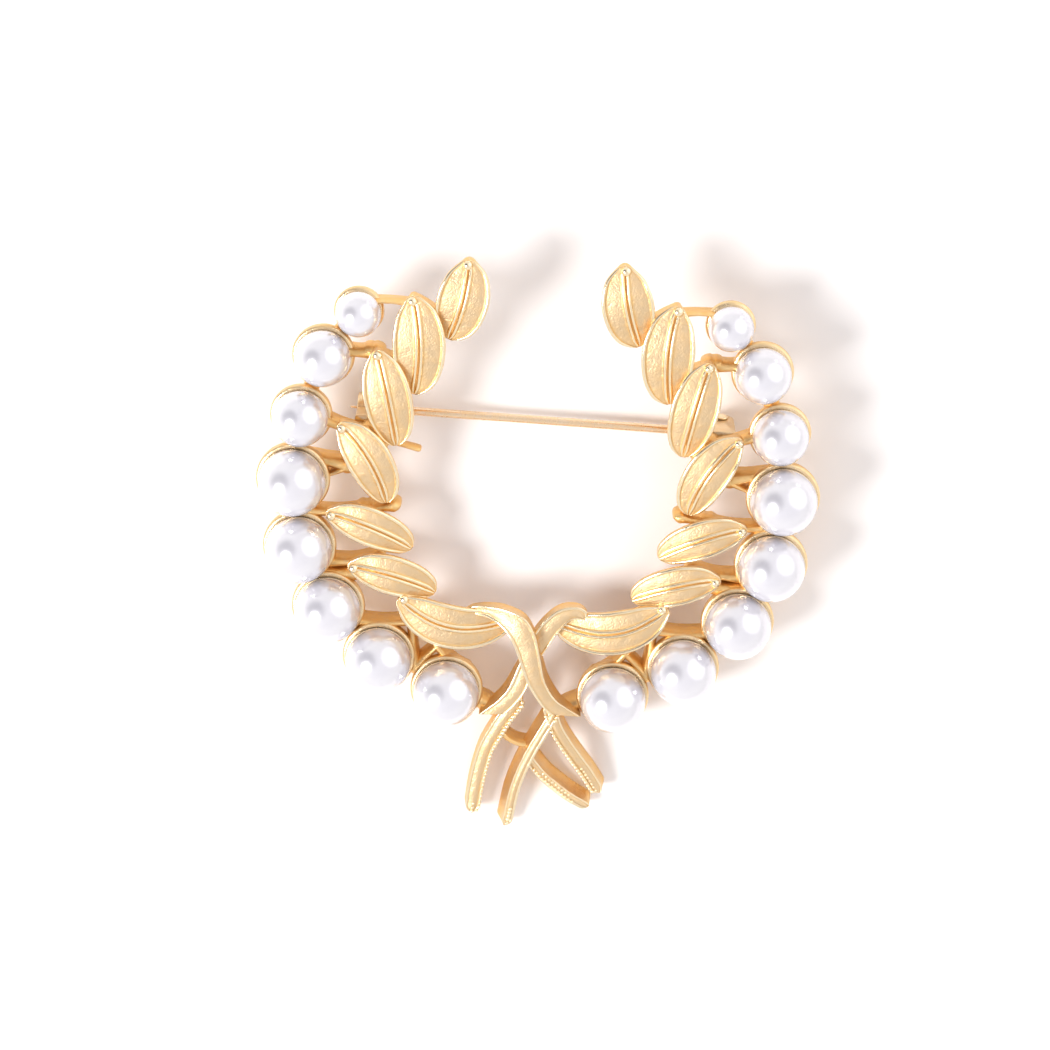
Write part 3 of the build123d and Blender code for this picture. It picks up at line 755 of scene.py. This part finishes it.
def leaf(row, side):
    """Leaf along its bowed midline, closed round the back.

    The midline is chord plus bow times 4s(1 - s) square to it; width, height and relief
    follow the tables along it, and both ends are closed in a half round. The walls draw in
    by LEAF_UNDERCUT times the square of the way down.
    """
    tip_station, tip_inset, base_station, base_inset, bow, width = row
    tip = ring(tip_station, tip_inset, side)
    chord = ring(base_station, base_inset, side) - tip
    across = np.array([chord[1], -chord[0]]) * side
    tip_length = LEAF_ALONG[0]
    end_length = LEAF_HALF_WIDTH * width * LEAF_WIDTHS[-1] / np.linalg.norm(chord)
    nose = round_end(0.25, 8)
    body = np.linspace(tip_length, 1 - end_length, LEAF_ROWS)[1:-1]
    along = np.concatenate([tip_length * nose, body, 1 - end_length * nose[::-1]])
    s = along[:, None]
    middle = tip + chord * s + across * bow * 4 * s * (1 - s)
    heading = chord + across * 4 * bow * (1 - 2 * s)
    heading /= np.linalg.norm(heading, axis=1)[:, None]
    tip_share = np.clip(along / tip_length, 0, 1)
    end_share = np.clip((1 - along) / end_length, 0, 1)
    closing = np.sqrt(1 - (1 - tip_share) ** 2) * np.sqrt(1 - (1 - end_share) ** 2)
    half = LEAF_HALF_WIDTH * width * eased(along, LEAF_ALONG, LEAF_WIDTHS) * closing
    half = half[:, None]
    relief = eased(along, LEAF_ALONG, LEAF_RELIEFS)[:, None]
    rise = eased(along, LEAF_ALONG, LEAF_RISES)[:, None]
    top = LEAF_TIP_HEIGHT + LEAF_CREST_RISE * rise - LEAF_BASE_FALL * s
    face, up, polish, recess = leaf_section(half, relief)
    undercut = LEAF_UNDERCUT * np.minimum(1.0, half / UNDERCUT_FULL_FROM)
    wall = np.linspace(0, 1, len(wall_recess) + 1)[1:]
    wall_across = half - undercut * wall**2
    wall_up = up[:, :1] + (-LEAF_THICKNESS - up[:, :1]) * wall
    sideways = np.hstack([wall_across[:, ::-1], face, -face[:, -2::-1], -wall_across])
    upwards = np.hstack([wall_up[:, ::-1], up, up[:, -2::-1], wall_up])
    x = middle[:, :1] + heading[:, 1:] * sideways
    y = middle[:, 1:] - heading[:, :1] * sideways
    polish = np.concatenate([0 * wall, polish, polish[-2::-1], 0 * wall])
    recess = np.concatenate([wall_recess[::-1], recess, recess[-2::-1], wall_recess])
    # Painted shade towards the tip and the base, kept off burnished parts
    end_shade = TIP_SHADE[0] * np.exp(-s / TIP_SHADE[1]) + BASE_SHADE[0] * np.exp((s - 1) / BASE_SHADE[1])
    recess = np.clip(recess + (1 - polish) * end_shade, 0, 1)
    return shell(laid(np.stack([x, y, top + upwards], axis=-1)), polish=polish, recess=recess)


def knob(row, side):
    """Round knob on a leaf's tip."""
    tip = ring(row[0], row[1], side)
    run = ring(row[2], row[3], side) - tip
    centre = tip + run / np.linalg.norm(run) * (KNOB_RADIUS + KNOB_SETBACK)
    middle = laid([*centre, LEAF_TIP_HEIGHT - KNOB_RADIUS + KNOB_RISE])
    # Knob: full painted highlight and no painted shade
    return shell(ball(middle, KNOB_RADIUS * MILLIMETRE, 20, 32), polish=1.0, recess=0.0)


for word, side in SIDES.items():
    for number, row in enumerate(LEAVES, 1):
        casting(f"leaf_{word}_{number}", [leaf(row, side), knob(row, side)])

# Ribbon
# A flat ribbon tied in a cross over the foot of the wreath: two bands that come from behind
# the lowest leaves and cross. It is cast in brass in one with the wreath, on a thick twig
# from the lowest cup on each side, and its rims are burnished.
BOW_HALF_WIDTH = 4.9
BOW_HALF_HEIGHT = 5.5
BOW_CENTRE_Y = -12.0
RIBBON_DEPTH = 1.5
RIBBON_HOLLOW = 0.10
RIBBON_SWELL = 0.10
RIBBON_FLANK = 0.40
CORNER_TWIG_WIDTH = 1.5
CORNER_TWIG_INSET = 0.05
CROSSING_MARK = 5.5
BAND_START = 0.9
BAND_START_WIDTH = 0.06
BAND_FULL_DEPTH = 2.5
BAND_START_DEPTH = 0.2
STRAP_RIM_LIMIT = 0.35
# Painted shade at the feet of a strap's rims and at the edges of its face
STRAP_RIM_RECESS = 0.4
STRAP_FACE_RECESS = 0.5
BAND_ROWS = 120
# Upper edge (x, y), lower edge (x, y) and rise towards the crossing, as shares of the bow's
# half width and half height
OVER_BAND = (
    (-1.34, 0.80, -1.32, 0.74, -0.40),
    (-1.08, 0.91, -1.06, 0.75, -0.20),
    (-0.78, 0.96, -0.82, 0.76, 0.25),
    (-0.44, 0.95, -0.59, 0.67, 0.70),
    (-0.13, 0.84, -0.40, 0.49, 0.95),
    (0.06, 0.56, -0.26, 0.22, 1.00),
    (0.17, 0.16, -0.16, -0.05, 1.00),
    (0.27, -0.25, -0.02, -0.37, 0.85),
    (0.47, -0.60, 0.16, -0.66, 0.55),
    (0.72, -0.79, 0.27, -0.80, 0.38),
    (0.97, -0.94, 0.40, -0.92, 0.25),
)
UNDER_BAND = (
    (-1.00, 0.80, -0.92, 0.76, 0.30),
    (-0.98, 0.93, -0.84, 0.78, 0.35),
    (-0.79, 1.00, -0.70, 0.76, 0.45),
    (-0.45, 0.93, -0.53, 0.60, 0.70),
    (-0.13, 0.65, -0.36, 0.37, 0.92),
    (0.10, 0.28, -0.19, 0.10, 1.00),
    (0.24, -0.10, -0.05, -0.21, 1.00),
    (0.40, -0.48, 0.09, -0.54, 0.85),
    (0.58, -0.71, 0.24, -0.76, 0.55),
    (0.76, -0.86, 0.34, -0.87, 0.38),
    (0.93, -0.99, 0.44, -0.97, 0.25),
)
# Name, table, 1 where it starts on the left or -1 on the right, rise at the crossing, and
# widths of the lower and upper rim
BANDS = (
    ("ribbon_over", OVER_BAND, 1, 1.6, (0.26, 0.182)),
    ("ribbon_under", UNDER_BAND, -1, 0.5, (0.156, 0.26)),
)


def strap(lower, upper, top, depth, rims, hollow, swell, flank):
    """Ribbon skinned between two edge lines: arched rims, a swelling face and plain sides.

    Each row runs from the lower edge's foot up by its depth, over the rim, across the face,
    over the other rim and down the flank, which leans out, to its foot.
    """
    width = np.linalg.norm(upper - lower, axis=1)[:, None]
    over = (upper - lower) / np.maximum(width, 1e-6)
    flank = np.broadcast_to(np.reshape(flank, (-1, 1)), width.shape)
    depth = np.broadcast_to(np.reshape(depth, (-1, 1)), width.shape)
    first = np.minimum(rims[0], STRAP_RIM_LIMIT * width)
    second = np.minimum(rims[1], STRAP_RIM_LIMIT * width)
    first_rim = first / 2 * (1 - np.cos(rim_arch))
    second_rim = width - second / 2 * (1 - np.cos(rim_arch[::-1]))
    rim_up = -hollow * (1 - np.sin(rim_arch) ** RIM_POWER) + 0 * width
    t = np.linspace(0, 1, 13)[1:-1]
    face_across = first + (width - first - second) * t
    face_up = -hollow + swell * np.sin(math.pi * t) + 0 * width
    drop = np.linspace(1, 0, len(wall_recess) + 1)[None, :-1]
    side_up = -hollow - (depth - hollow) * drop
    flank_across = width + flank * drop[:, ::-1]
    across = np.hstack([0 * side_up, first_rim, face_across, second_rim, flank_across])
    up = np.hstack([side_up, rim_up, face_up, rim_up, side_up[:, ::-1]])
    x = lower[:, :1] + over[:, :1] * across
    y = lower[:, 1:] + over[:, 1:] * across
    # Painted shade down the sides, at the rims' feet and at the face's edges; painted highlight on
    # the rim crests
    side, rim = wall_recess[::-1], STRAP_RIM_RECESS * (1 - rim_crest)
    face = STRAP_FACE_RECESS * np.abs(2 * t - 1) ** FIELD_RECESS_POWER
    polish = np.concatenate([0 * side, rim_crest, 0 * t, rim_crest, 0 * side])
    recess = np.concatenate([side, rim, face, rim, side[::-1]])
    points = np.stack([x, y, top[:, None] + up], axis=-1)
    return shell(laid(points), polish=polish, recess=recess)


def band(marks, side, crossing_rise, rims):
    """One band of the cross, its edge lines eased through its table.

    Its start is closed in a half round and deepens up to BAND_FULL_DEPTH. Past the crossing
    its flank leans out by up to RIBBON_FLANK, as half a sine wave along the rest of the band.
    """
    last = len(marks) - 1
    at = np.linspace(0, last, BAND_ROWS)
    row = eased(at, np.arange(last + 1), marks)
    size = np.array([side * BOW_HALF_WIDTH, BOW_HALF_HEIGHT])
    upper = row[:, 0:2] * size + [0, BOW_CENTRE_Y]
    lower = row[:, 2:4] * size + [0, BOW_CENTRE_Y]
    top = LEAF_TIP_HEIGHT + crossing_rise * row[:, 4]
    start = np.clip(at / BAND_START, 0, 1)[:, None]
    closing = BAND_START_WIDTH + (1 - BAND_START_WIDTH) * np.sqrt(1 - (1 - start) ** 2)
    middle = (lower + upper) / 2
    lower, upper = middle + (lower - middle) * closing, middle + (upper - middle) * closing
    past = np.clip((at - CROSSING_MARK) / (last - CROSSING_MARK), 0, 1)
    flank = RIBBON_FLANK * np.sin(math.pi * past)
    full = np.clip(at / BAND_FULL_DEPTH, 0, 1)
    depth = RIBBON_DEPTH * (BAND_START_DEPTH + (1 - BAND_START_DEPTH) * full)
    return strap(lower, upper, top, depth, rims, RIBBON_HOLLOW, RIBBON_SWELL, flank)


def corner_twig(marks, side):
    """Bar from the lowest cup to under the middle of a band's last mark."""
    upper_x, upper_y, lower_x, lower_y, _ = marks[-1]
    across = side * BOW_HALF_WIDTH * (upper_x + lower_x) / 2
    end = np.array([across, BOW_HALF_HEIGHT * (upper_y + lower_y) / 2 + BOW_CENTRE_Y])
    start = ring(0, CORNER_TWIG_INSET, side)
    return rounded_bar(start, end, CORNER_TWIG_WIDTH, TWIG_HEIGHT, TWIG_FEET[0], flare=0.0)


casting("corner_twigs", [corner_twig(OVER_BAND, 1), corner_twig(UNDER_BAND, -1)])
for name, marks, side, rise, rims in BANDS:
    casting(name, [band(marks, side, rise, rims)])

# Ribbon tails
# Four narrow brass tails, cast with the ribbon, hang from behind the crossing and spread.
# Each has a hollow face, a sloping upper side, rows of small beads and a rounded end that
# the brooch rests on.
TAIL_SPREAD = 7.0
TAIL_DROP = 12.4
TAIL_TOP_Y = -16.4
TAIL_WIDTH = 1.5
TAIL_SHIFT = 0.21
TAIL_THICKNESS = 1.5
TAIL_SINK = 0.10
TAIL_RIMS = (0.24, 0.168)
TAIL_HOLLOW = 0.08
TAIL_SWELL = 0.14
TAIL_ROWS = 90
BEAD_RADIUS = 0.22
BEAD_PITCH = 0.41
BEAD_PROUD = 0.2
WEB = (-0.40, 0.22), (0.04, 0.36)
WEB_WIDTH = 0.75
WEB_BOW = -0.5
# Width of the flank, then shares of TAIL_SPREAD across, TAIL_DROP down and the rise to the ribbon
TAIL_FLANKS = {"outer_left": 0.12, "inner_left": 0.55, "inner_right": 0.60, "outer_right": 0.30}
TAILS = {
    "outer_left": (
        (-0.16, 0.01, 0.96),
        (-0.29, 0.12, 0.94),
        (-0.40, 0.24, 0.80),
        (-0.51, 0.38, 0.60),
        (-0.59, 0.56, 0.36),
        (-0.64, 0.73, 0.16),
        (-0.67, 0.89, 0.00),
    ),
    "inner_left": (
        (0.36, 0.03, 0.96),
        (0.27, 0.13, 1.00),
        (0.17, 0.24, 1.00),
        (0.06, 0.37, 0.90),
        (-0.06, 0.54, 0.72),
        (-0.16, 0.74, 0.44),
        (-0.228, 0.99, 0.00),
    ),
    "inner_right": (
        (0.07, 0.50, 0.32),
        (0.22, 0.61, 0.20),
        (0.42, 0.71, 0.12),
        (0.60, 0.79, 0.04),
        (0.75, 0.84, 0.00),
    ),
    "outer_right": (
        (0.27, 0.05, 0.96),
        (0.37, 0.20, 0.90),
        (0.49, 0.32, 0.76),
        (0.64, 0.45, 0.56),
        (0.78, 0.57, 0.28),
        (0.91, 0.70, 0.00),
    ),
}
# Bead rows of each tail: place across its face, start and stop along it, size
TAIL_BEADS = {
    "outer_left": ((0.06, 0.0, 0.45, 1.0), (0.06, 0.45, 0.97, 0.7), (0.5, 0.93, 1.0, 0.8)),
    "inner_left": ((0.12, 0.0, 0.14, 0.9), (0.5, 0.86, 1.0, 1.0)),
    "inner_right": ((0.30, 0.20, 0.80, 0.8), (0.75, 0.30, 0.75, 0.7)),
    "outer_right": ((0.08, 0.12, 0.95, 0.9), (0.40, 0.70, 0.97, 0.6)),
}


def tail_place(across, down):
    """Plan points at shares of the tails' spread and drop."""
    return np.stack([across * TAIL_SPREAD, TAIL_TOP_Y - down * TAIL_DROP], axis=-1)


def tail(marks, flank):
    """Tail along its middle line, closed in a half round past its first and last marks.

    The face and the flank share TAIL_WIDTH, and past the marks the half width follows a
    circle, w sqrt(1 - v^2) for v from 0 to 1.
    """
    at = np.linspace(0, len(marks) - 1, TAIL_ROWS)
    row = eased(at, np.arange(len(marks)), marks)
    middle = tail_place(row[:, 0], row[:, 1])
    heading = np.gradient(middle, axis=0)
    heading /= np.linalg.norm(heading, axis=1)[:, None]
    upward = np.stack([heading[:, 1], -heading[:, 0]], axis=1)
    if upward[-1, 1] < 0:
        upward = -upward
    v = np.sin(np.linspace(0, math.pi / 2, 16))[1:-1, None]
    before = middle[0] - heading[0] * v[::-1] * TAIL_WIDTH / 2
    past = middle[-1] + heading[-1] * v * TAIL_WIDTH / 2
    closing = np.sqrt(1 - v[:, 0] ** 2)
    middle = np.vstack([before, middle, past])
    upward = np.pad(upward, ((len(v), len(v)), (0, 0)), mode="edge")
    narrow = np.concatenate([closing[::-1], np.ones(len(row)), closing])[:, None]
    rise = np.pad(row[:, 2], len(v), mode="edge")
    top = TAIL_THICKNESS + (LEAF_TIP_HEIGHT - TAIL_SINK - TAIL_THICKNESS) * rise
    middle = middle + upward * TAIL_SHIFT
    lower = middle - upward * TAIL_WIDTH / 2 * narrow
    upper = middle + upward * (TAIL_WIDTH / 2 - flank) * narrow
    section = TAIL_THICKNESS, TAIL_RIMS, TAIL_HOLLOW, TAIL_SWELL, flank * narrow[:, 0]
    return strap(lower, upper, top, *section), lower, upper, top


def beads(first, second, top, share, start, stop, radius):
    """Row of cast beads at a share of the way between two edge lines, a pitch apart.

    It runs from one share of the row's length to another.
    """
    line = np.column_stack([first + (second - first) * share, top + BEAD_PROUD * radius])
    length = np.concatenate([[0], np.cumsum(np.linalg.norm(np.diff(line, axis=0), axis=1))])
    at = np.arange(start * length[-1], stop * length[-1], BEAD_PITCH)
    places = np.stack([np.interp(at, length, line[:, k]) for k in range(3)], axis=1)
    grids = [ball(laid(place), radius * MILLIMETRE, 3, 8) for place in places]
    # Beads: full painted highlight and no painted shade
    return [shell(grid, polish=1.0, recess=0.0) for grid in grids]


web_ends = tail_place(*WEB[0]), tail_place(*WEB[1])
web = rounded_bar(*web_ends, WEB_WIDTH, TWIG_HEIGHT, TWIG_FEET[0], WEB_BOW)
casting("tail_web", [web])
for name, marks in TAILS.items():
    face, lower, upper, top = tail(marks, TAIL_FLANKS[name])
    shells = [face]
    for share, start, stop, size in TAIL_BEADS[name]:
        shells += beads(lower, upper, top, share, start, stop, BEAD_RADIUS * size)
    casting(f"tail_{name}", shells)

# Hinge bracket
# A small plate soldered to the back of the right side, with two round-nosed ears drilled
# for the rivet. It is sawn from brass sheet, tumbled smooth and plated with the wreath.
AXIS_DEPTH = 3.7
HINGE = (4.83, 0.58)
CATCH = (5.10, 0.66)
EYE_WIDTH = 1.5
EAR_GAP = 0.10
EAR_WIDTH = 0.60
EAR_RADIUS = 1.20
PLATE_THICKNESS = 0.60
PLATE_SINK = 0.30
PLATE_LENGTH = 2.8
RIVET_HOLE = 0.43
EDGE_ROUND = 0.08
OBLONG_POWER = 0.25
# Even burnish with a painted highlight, and even painted shade, on the findings
FINDING_POLISH = 0.5
FINDING_RECESS = 0.2

hinge_point = ring(*HINGE, SIDES["right"])
catch_point = ring(*CATCH, SIDES["left"])
stem_length = np.linalg.norm(catch_point - hinge_point)
stem_run = (catch_point - hinge_point) / stem_length
rivet_run = np.array([-stem_run[1], stem_run[0]])
plate_top = AXIS_DEPTH + PLATE_SINK
ear_reach = EYE_WIDTH / 2 + EAR_GAP + EAR_WIDTH


def behind(x, y, z):
    """Point behind the wreath: x from the hinge to the catch, y along the rivet, z up."""
    x, y, z = np.broadcast_arrays(x, y, z)
    plan = hinge_point + np.multiply.outer(x, stem_run) + np.multiply.outer(y, rivet_run)
    return laid(np.concatenate([plan, (z - AXIS_DEPTH)[..., None]], axis=-1))


def even_sheen_and_shade(points, polish=FINDING_POLISH, recess=FINDING_RECESS, **options):
    """Closed grid with an even burnish and painted highlight, and even painted shade."""
    return shell(points, polish=polish, recess=recess, **options)


def oblong(count, first_power, second_power):
    """Rounded oblong of half sides 1: cos t and sin t, each to its power, their signs kept."""
    away, over = np.cos(full_turn(count)), np.sin(full_turn(count))
    away = np.sign(away) * np.abs(away) ** first_power
    return away, np.sign(over) * np.abs(over) ** second_power


def ear(y):
    """Ear from its nose round the rivet hole: rings from the hole's edge out and back.

    The outline is a half circle below and a square shoulder above, and each ring follows it
    with its edge rounded over.
    """
    away, up = np.cos(full_turn(96)), np.sin(full_turn(96))
    square = np.minimum(
        EAR_RADIUS / np.maximum(np.abs(away), 1e-9), plate_top / np.maximum(up, 1e-9)
    )
    reach = np.where(up > 0, square, EAR_RADIUS)
    hole = np.full_like(reach, RIVET_HOLE)
    bore = hole + EDGE_ROUND
    shoulder = reach - EDGE_ROUND
    out = np.array([hole, bore, shoulder, reach, reach, shoulder, bore, hole, hole])
    inside = 0.5 - EDGE_ROUND
    depth = np.array([-inside, -0.5, -0.5, -inside, inside, 0.5, 0.5, inside, -inside])
    return even_sheen_and_shade(behind(out * away, y + depth[:, None] * EAR_WIDTH, out * up), caps=False)


def rounded_plate(length, width, low, high):
    """Plate with rounded corners and edges: a superellipse outline, shrunk at both faces."""
    away, over = oblong(64, OBLONG_POWER, OBLONG_POWER)
    inset = np.array([EDGE_ROUND, 0, 0, EDGE_ROUND])[:, None]
    height = np.array([low, low + EDGE_ROUND, high - EDGE_ROUND, high])[:, None]
    return even_sheen_and_shade(behind((length / 2 - inset) * away, (width / 2 - inset) * over, height))


plate = rounded_plate(PLATE_LENGTH, 2 * ear_reach, plate_top - PLATE_THICKNESS, plate_top)
ears = [ear(end * (ear_reach - EAR_WIDTH / 2)) for end in (-1, 1)]
casting("hinge_bracket", [plate, *ears])

# Rivet
# A short brass pin through both ears and the eye of the stem, plated like the casting. Its
# ends are peened over into low domes.
RIVET_RADIUS = 0.40
RIVET_HEAD_RADIUS = 0.70
RIVET_HEAD_HEIGHT = 0.30
RIVET_HEAD_RIM = 0.35
RIVET_HEAD_UNDERCUT = 0.03
RIVET_HEAD_GAP = 0.03
RIVET_COLUMNS = 48


def along_rivet(profile):
    """Surface turned about the rivet: each profile point (y, r) runs a circle."""
    turn = full_turn(RIVET_COLUMNS)
    y, radius = profile[:, :1], profile[:, 1:]
    # Rivet: strong painted highlight and no painted shade
    return even_sheen_and_shade(behind(radius * np.cos(turn), y, radius * np.sin(turn)), polish=0.8, recess=0.0)


head = ear_reach + RIVET_HEAD_GAP
dome = np.linspace(0.05, math.pi / 2, 8)
dome_out = head + RIVET_HEAD_HEIGHT * (RIVET_HEAD_RIM + (1 - RIVET_HEAD_RIM) * np.cos(dome))
right_dome = np.stack([dome_out, RIVET_HEAD_RADIUS * np.sin(dome)], axis=1)
under_head = [[head, RIVET_HEAD_RADIUS - RIVET_HEAD_UNDERCUT], [head, RIVET_RADIUS]]
right_end = np.vstack([right_dome, under_head])
rivet_shell = along_rivet(np.vstack([right_end, right_end[::-1] * [-1, 1]]))
piece("rivet", [rivet_shell], cast_gold, "wreath", "hinge_rivet")

# Catch
# A hook bent from half-hard brass strip, on a leg that is soldered under the left side. It
# is open away from the wreath, and the stem springs in under its lip.
CATCH_INNER_RADIUS = 0.95
CATCH_WALL = 0.45
CATCH_LENGTH = 2.6
CATCH_LIP_ANGLE = 32.0
CATCH_MOUTH_ANGLE = 75.0
CATCH_LEG_WIDTH = 1.0
CATCH_LEG_FLARE = 0.12
CATCH_LEG_LAP = 0.1
STRIP_POWER = 0.4


def hook_strip():
    """Strip round the hook from its lip to its mouth, its section a rounded oblong."""
    start = math.radians(-90 - CATCH_LIP_ANGLE)
    stop = math.radians(-90 + CATCH_MOUTH_ANGLE) - 2 * math.pi
    bend = np.linspace(start, stop, 64)[:, None]
    wall, over = oblong(32, STRIP_POWER, OBLONG_POWER)
    radius = CATCH_INNER_RADIUS + CATCH_WALL / 2 * (1 + wall)
    along = stem_length + CATCH_LENGTH / 2 * over
    return even_sheen_and_shade(behind(along, radius * np.cos(bend), radius * np.sin(bend)))


def hook_leg():
    """Leg of the hook: a rounded oblong drawn up from its back, with a cubic flare on top."""
    over, away = oblong(40, OBLONG_POWER, STRIP_POWER)
    share = np.linspace(0, 1, 12)[:, None]
    up = np.linspace(CATCH_INNER_RADIUS + CATCH_LEG_LAP, plate_top, 12)[:, None]
    wide = CATCH_LEG_WIDTH / 2 * (1 + CATCH_LEG_FLARE * share**3)
    return even_sheen_and_shade(behind(stem_length + CATCH_LENGTH / 2 * over, wide * away, up))


casting("catch", [hook_strip(), hook_leg()])

# Pin stem
# A hard-drawn brass wire with a flattened, drilled eye that turns on the rivet, a thick
# neck and a long ground point. It is plated rosier than the casting.
ROSE_GOLD = (0.94, 0.68, 0.48, 1.0)
ROSE_ROUGHNESS = 0.30
ROSE_BRIGHT_ROUGHNESS = 0.2
ROSE_BUMP = 0.03
STEM_RADIUS = 0.385
# Burnish and painted highlight along the wire
STEM_POLISH = 0.35
STEM_POINT_LENGTH = 4.4
STEM_POINT_RADIUS = 0.08
STEM_POINT_POWER = 1.15
STEM_PAST_CATCH = 0.7
NECK_RADIUS = 0.60
NECK_LENGTH = 1.7
NECK_START = 0.12
NECK_STEP = 0.25
EYE_RADIUS = 0.95
EYE_HOLE = 0.45
EYE_POWER = 0.3


def stem_eye():
    """Eye: a rounded square section turned about the rivet."""
    wall, over = oblong(32, STRIP_POWER, EYE_POWER)
    section = (EYE_RADIUS + EYE_HOLE) / 2 + (EYE_RADIUS - EYE_HOLE) / 2 * wall
    radius = np.append(section, section[0])[:, None]
    y = EYE_WIDTH / 2 * np.append(over, over[0])[:, None]
    turn = full_turn(64)
    return even_sheen_and_shade(behind(radius * np.cos(turn), y, radius * np.sin(turn)), caps=False)


def stem_wire():
    """Wire turned about its own line: neck, shank, and a point ground by a power of its length."""
    reach = stem_length + CATCH_LENGTH / 2 + STEM_PAST_CATCH
    shank_end = reach - STEM_POINT_LENGTH
    neck = np.linspace(EYE_HOLE + NECK_START, NECK_LENGTH, 8)
    shank = np.linspace(NECK_LENGTH + NECK_STEP, shank_end, 24)
    along = np.concatenate([neck, shank, np.linspace(shank_end + 0.3, reach, 16)])
    ground = np.clip((along - shank_end) / STEM_POINT_LENGTH, 0, 1)
    radius = np.where(along <= NECK_LENGTH, NECK_RADIUS, STEM_RADIUS)
    radius = radius - (radius - STEM_POINT_RADIUS) * ground**STEM_POINT_POWER
    across, turn = radius[:, None], full_turn(48)
    points = behind(along[:, None], across * np.cos(turn), across * np.sin(turn))
    return even_sheen_and_shade(points, polish=STEM_POLISH)


rose_plate = gold_plate(
    "rose stem plate", ROSE_GOLD, ROSE_ROUGHNESS, ROSE_BRIGHT_ROUGHNESS, ROSE_BUMP
)
stem = piece("stem", [stem_wire(), stem_eye()], rose_plate, "pin", "pin_stem")
